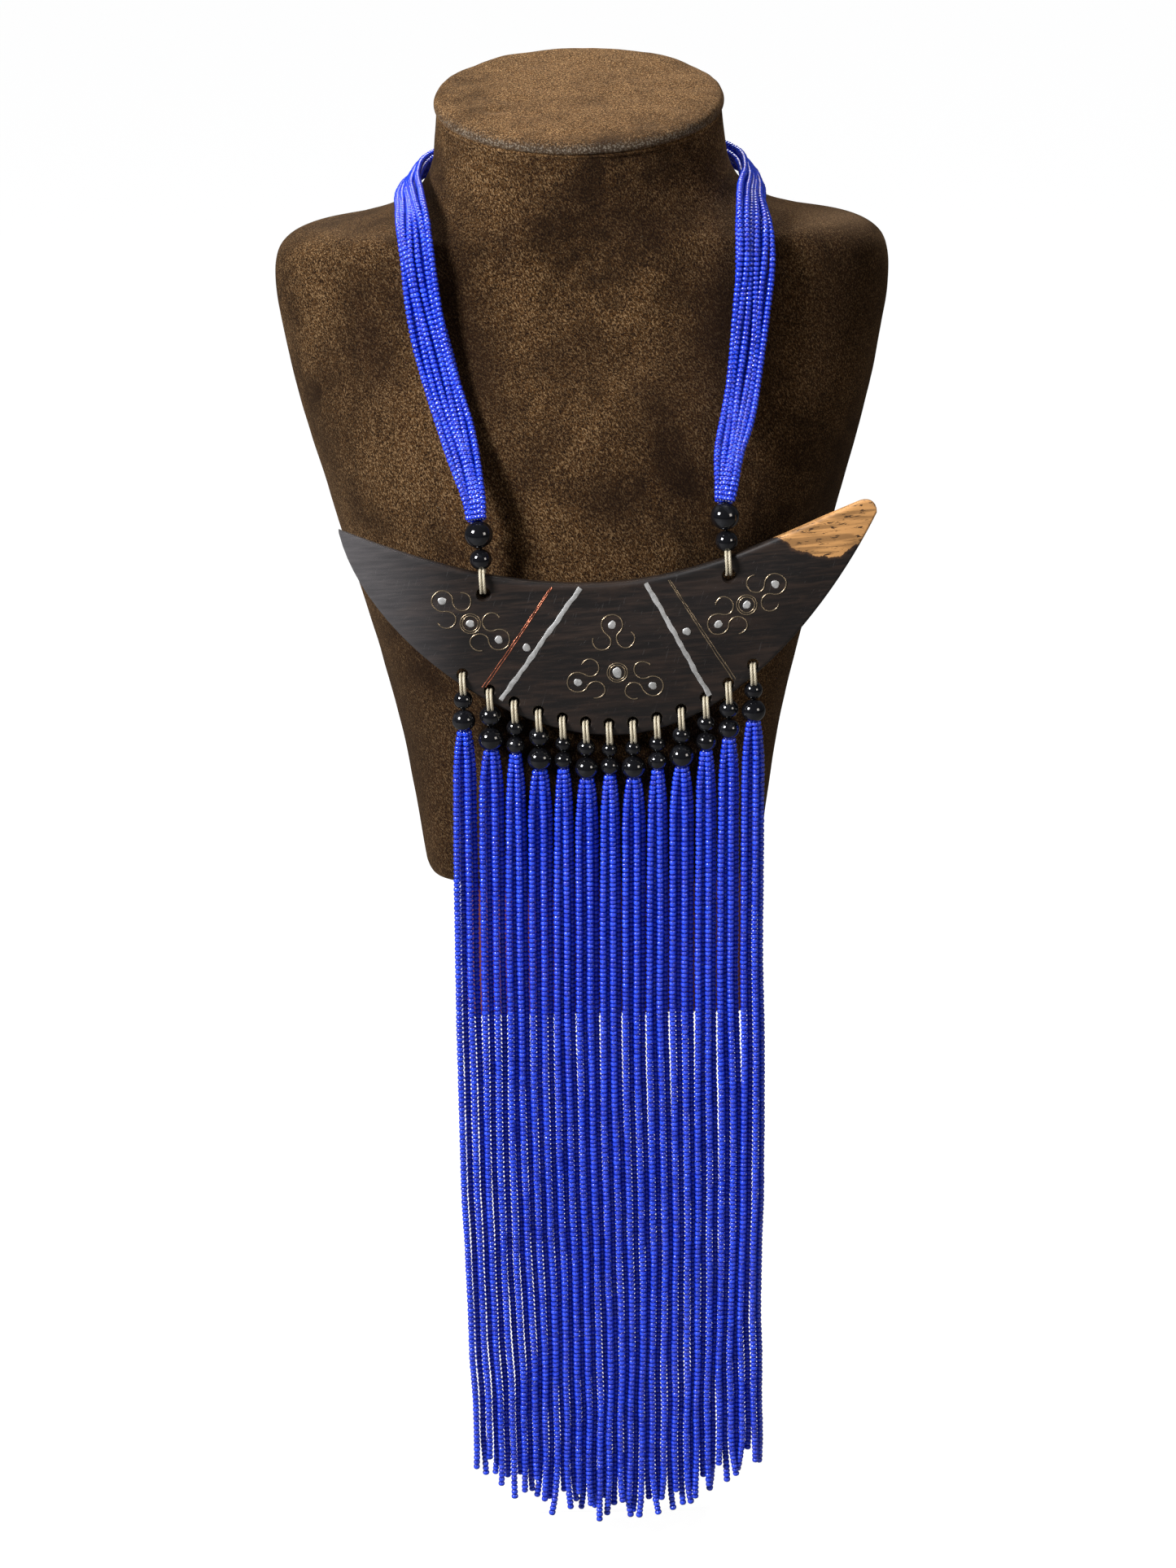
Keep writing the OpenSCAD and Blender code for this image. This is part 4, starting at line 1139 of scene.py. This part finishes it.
def make_studio(studio):
    """The camera, soft lights, pale floor, and the stand that the bust's foot rests on."""
    scene = bpy.context.scene
    data = bpy.data.cameras.new("Camera")
    data.sensor_fit, data.sensor_height, data.lens = "VERTICAL", 36, 105.1
    data.clip_start, data.clip_end = 0.05, 60
    camera = bpy.data.objects.new("Camera", data)
    camera.matrix_world = (Matrix.Translation((-0.0013, -1.5066, 0.4990))
                           @ Euler((math.radians(72), 0, 0)).to_matrix().to_4x4()
                           @ Matrix.Rotation(math.radians(-1.1), 4, "Z"))
    scene.collection.objects.link(camera)
    scene.camera = camera
    scene.view_settings.view_transform = "Standard"

    middle = (0, -0.05, 0.08)
    soft_light("Window", (-1.05, -0.8, 0.85), middle, 0.42, studio.key, (0.98, 0.98, 1.0))
    soft_light("Room", (1.1, -1.0, 0.55), middle, 0.5, studio.key * 0.14, (1.0, 0.92, 0.84))
    soft_light("Above", (0.0, 0.55, 1.2), (0, 0, 0.2), 0.6, studio.key * 0.3, (1.0, 0.95, 0.88))

    world = bpy.data.worlds.new("Room")
    scene.world = world
    world.use_nodes = True
    tree = world.node_tree
    back = tree.nodes["Background"]
    seen = add(tree, "ShaderNodeLightPath").outputs["Is Camera Ray"]
    tree.links.new(mixed(tree, seen, (0.07, 0.074, 0.082), (1, 1, 1)), back.inputs["Color"])

    mesh = bpy.data.meshes.new("floor")
    mesh.from_pydata([(x, y, FLOOR_Z) for x, y in ((-14, -8), (14, -8), (14, 20), (-14, 20))],
                     [], [(0, 1, 2, 3)])
    material, tree, bsdf = shader("Pale floor", {"Roughness": 0.7})
    grain = speckle(tree, place_of(tree), 300.0, 3, 0.5)
    join(tree, bsdf, mixed(tree, grain, studio.floor[:], [min(c * 1.04, 1) for c in studio.floor]))
    seen = add(tree, "ShaderNodeLightPath").outputs["Is Camera Ray"]
    tree.links.new(mixed(tree, seen, (0, 0, 0), (0.97, 0.97, 0.97)), bsdf.inputs["Emission Color"])
    bsdf.inputs["Emission Strength"].default_value = 1.0
    floor = add_object("floor", mesh, material, smooth=False)

    wood, tree, bsdf = shader("Stained shelf", {"Roughness": 0.6})
    grain = speckle(tree, stretched(tree, place_of(tree), (0.1, 1, 1)), 300.0, 4, 0.6)
    join(tree, bsdf, mixed(tree, grain, (0.1, 0.02, 0.014), (0.2, 0.045, 0.03)), None, grain)
    for name, finish, high, (x0, x1), (y0, y1) in (
            ("shelf", wood, (-0.05, -0.0004), (-0.043, 0.052), (-0.069, 0.024)),
            ("stand", material, (FLOOR_Z, -0.05), (-0.026, 0.037), (-0.06, 0.014))):
        corners = [(x0, y0), (x1, y0), (x1, y1), (x0, y1)]
        mesh = bpy.data.meshes.new(name)
        mesh.from_pydata([(x, y, z) for z in high for x, y in corners], [],
                         [(3, 2, 1, 0), (4, 5, 6, 7)] + [(k, (k + 1) % 4, 4 + (k + 1) % 4, 4 + k)
                                                         for k in range(4)])
        block = add_object(name, mesh, finish, smooth=False)
        soften = block.modifiers.new("Soft edges", "BEVEL")
        soften.width, soften.segments = 0.003, 4


# ---- Settings, operators and panel ------------------------------------------------------

def colour_of(name, description, default):
    """A colour setting."""
    return bpy.props.FloatVectorProperty(name=name, description=description, subtype="COLOR", size=3,
                                         min=0, max=1, default=default)


def length_of(name, description, default, low, high):
    """A length setting."""
    return bpy.props.FloatProperty(name=name, description=description, unit="LENGTH", default=default,
                                   min=low, max=high, precision=5)


class GlassSettings(bpy.types.PropertyGroup):
    """Seed beads."""
    colour: colour_of("Glass colour", "Colour of the seed beads", (0.001, 0.012, 0.82))
    see_through: bpy.props.FloatProperty(name="See-through", description="How clear the seed beads are",
                                         default=0.12, min=0, max=1, subtype="FACTOR")
    strand_wide: length_of("Bead width", "Diameter of a seed bead", 0.0023, 0.002, 0.0024)
    bead_tall: length_of("Bead height", "Height of a seed bead along its thread", 0.0016, 0.0012, 0.0022)
    wander: length_of("Wander", "How far a fringe strand strays from a straight line", 0.0007, 0, 0.002)


class CordSettings(bpy.types.PropertyGroup):
    """Cord loops and black beads."""
    colour: colour_of("Cord colour", "Colour of the waxed cord", (0.6, 0.53, 0.38))
    black: colour_of("Bead colour", "Colour of the round beads", (0.004, 0.004, 0.005))
    cord_wide: length_of("Cord width", "Diameter of one cord of a doubled loop", 0.00094, 0.0006, 0.0011)


class PendantSettings(bpy.types.PropertyGroup):
    """The crescent and its inlay."""
    dark: colour_of("Ebony", "Darkest colour of the wood", (0.0055, 0.004, 0.0036))
    brown: colour_of("Ebony grain", "Colour of the wood's brown grain", (0.021, 0.012, 0.008))
    sapwood: colour_of("Sapwood", "Colour of the pale tip", (0.56, 0.285, 0.1))
    silver: colour_of("Silver", "Colour of the strips and dots", (0.6, 0.6, 0.59))
    copper: colour_of("Copper", "Colour of the copper lines", (0.62, 0.2, 0.11))
    brass: colour_of("Brass", "Colour of the curled wire", (0.33, 0.255, 0.165))


class BustSettings(bpy.types.PropertyGroup):
    """The velvet bust."""
    deep: colour_of("Deep pile", "Colour between the velvet's hairs", (0.0055, 0.0022, 0.0009))
    pile: colour_of("Pile", "Main colour of the velvet", (0.066, 0.031, 0.0095))
    brushed: colour_of("Brushed pile", "Colour of the hair tips that catch the light", (0.21, 0.13, 0.062))


class StudioSettings(bpy.types.PropertyGroup):
    """Light and floor."""
    key: bpy.props.FloatProperty(name="Main light", description="Power of the main light in watts",
                                 default=46.0, min=0, max=500)
    floor: colour_of("Floor colour", "Colour of the floor", (0.12, 0.12, 0.12))


class NECKLACE_OT_studio(bpy.types.Operator):
    """Set the camera, the lights, the floor and the stand"""
    bl_idname = "necklace.studio"
    bl_label = "Studio"

    def execute(self, context):
        make_studio(context.scene.necklace_studio)
        return {"FINISHED"}


class NECKLACE_OT_fringe(bpy.types.Operator):
    """String the thirteen tassels of seed beads"""
    bl_idname = "necklace.fringe"
    bl_label = "Fringe strands"

    def execute(self, context):
        make_fringe(context.scene.necklace_glass)
        return {"FINISHED"}


class NECKLACE_OT_neck_strands(bpy.types.Operator):
    """String the eleven strands of seed beads round the neck"""
    bl_idname = "necklace.neck_strands"
    bl_label = "Neck strands"

    def execute(self, context):
        make_neck_strands(context.scene.necklace_glass)
        return {"FINISHED"}


class NECKLACE_OT_cords(bpy.types.Operator):
    """Make the doubled cord loops"""
    bl_idname = "necklace.cords"
    bl_label = "Cord loops"

    def execute(self, context):
        make_cords(context.scene.necklace_cords)
        return {"FINISHED"}


class NECKLACE_OT_black_beads(bpy.types.Operator):
    """Turn the round black beads"""
    bl_idname = "necklace.black_beads"
    bl_label = "Black beads"

    def execute(self, context):
        make_black_beads(context.scene.necklace_cords)
        return {"FINISHED"}


class NECKLACE_OT_crescent(bpy.types.Operator):
    """Carve the ebony crescent and drill its holes"""
    bl_idname = "necklace.crescent"
    bl_label = "Crescent"

    def execute(self, context):
        make_crescent(context.scene.necklace_pendant)
        return {"FINISHED"}


class NECKLACE_OT_inlay(bpy.types.Operator):
    """Let the metal into the crescent's face"""
    bl_idname = "necklace.inlay"
    bl_label = "Metal inlay"

    def execute(self, context):
        make_inlay(context.scene.necklace_pendant)
        return {"FINISHED"}


class NECKLACE_OT_bust(bpy.types.Operator):
    """Cover the bust, its cap and piping in velvet"""
    bl_idname = "necklace.bust"
    bl_label = "Velvet bust"

    def execute(self, context):
        make_bust(context.scene.necklace_bust)
        return {"FINISHED"}


SETTINGS = {"necklace_glass": GlassSettings, "necklace_cords": CordSettings,
            "necklace_pendant": PendantSettings, "necklace_bust": BustSettings,
            "necklace_studio": StudioSettings}
OPERATORS = (NECKLACE_OT_studio, NECKLACE_OT_fringe, NECKLACE_OT_neck_strands, NECKLACE_OT_cords,
             NECKLACE_OT_black_beads, NECKLACE_OT_crescent, NECKLACE_OT_inlay, NECKLACE_OT_bust)


class NECKLACE_PT_panel(bpy.types.Panel):
    """Lists the settings and the pieces"""
    bl_idname = "NECKLACE_PT_panel"
    bl_label = "Necklace"
    bl_space_type = "VIEW_3D"
    bl_region_type = "UI"
    bl_category = "Necklace"

    def draw(self, context):
        for key, group in SETTINGS.items():
            box = self.layout.box()
            box.label(text=group.__doc__.strip("."))
            for name in group.__annotations__:
                box.prop(getattr(context.scene, key), name)
        for operator in OPERATORS:
            self.layout.operator(operator.bl_idname)


def register():
    for kind in (*SETTINGS.values(), *OPERATORS, NECKLACE_PT_panel):
        bpy.utils.register_class(kind)
    for key, group in SETTINGS.items():
        setattr(bpy.types.Scene, key, bpy.props.PointerProperty(type=group))


def unregister():
    for key in SETTINGS:
        delattr(bpy.types.Scene, key)
    for kind in (NECKLACE_PT_panel, *reversed(OPERATORS), *reversed(SETTINGS.values())):
        bpy.utils.unregister_class(kind)


def main():
    register()
    bpy.ops.necklace.studio()
    bpy.ops.necklace.fringe()
    bpy.ops.necklace.neck_strands()
    bpy.ops.necklace.cords()
    bpy.ops.necklace.black_beads()
    bpy.ops.necklace.crescent()
    bpy.ops.necklace.inlay()
    bpy.ops.necklace.bust()


if __name__ == "__main__":
    main()
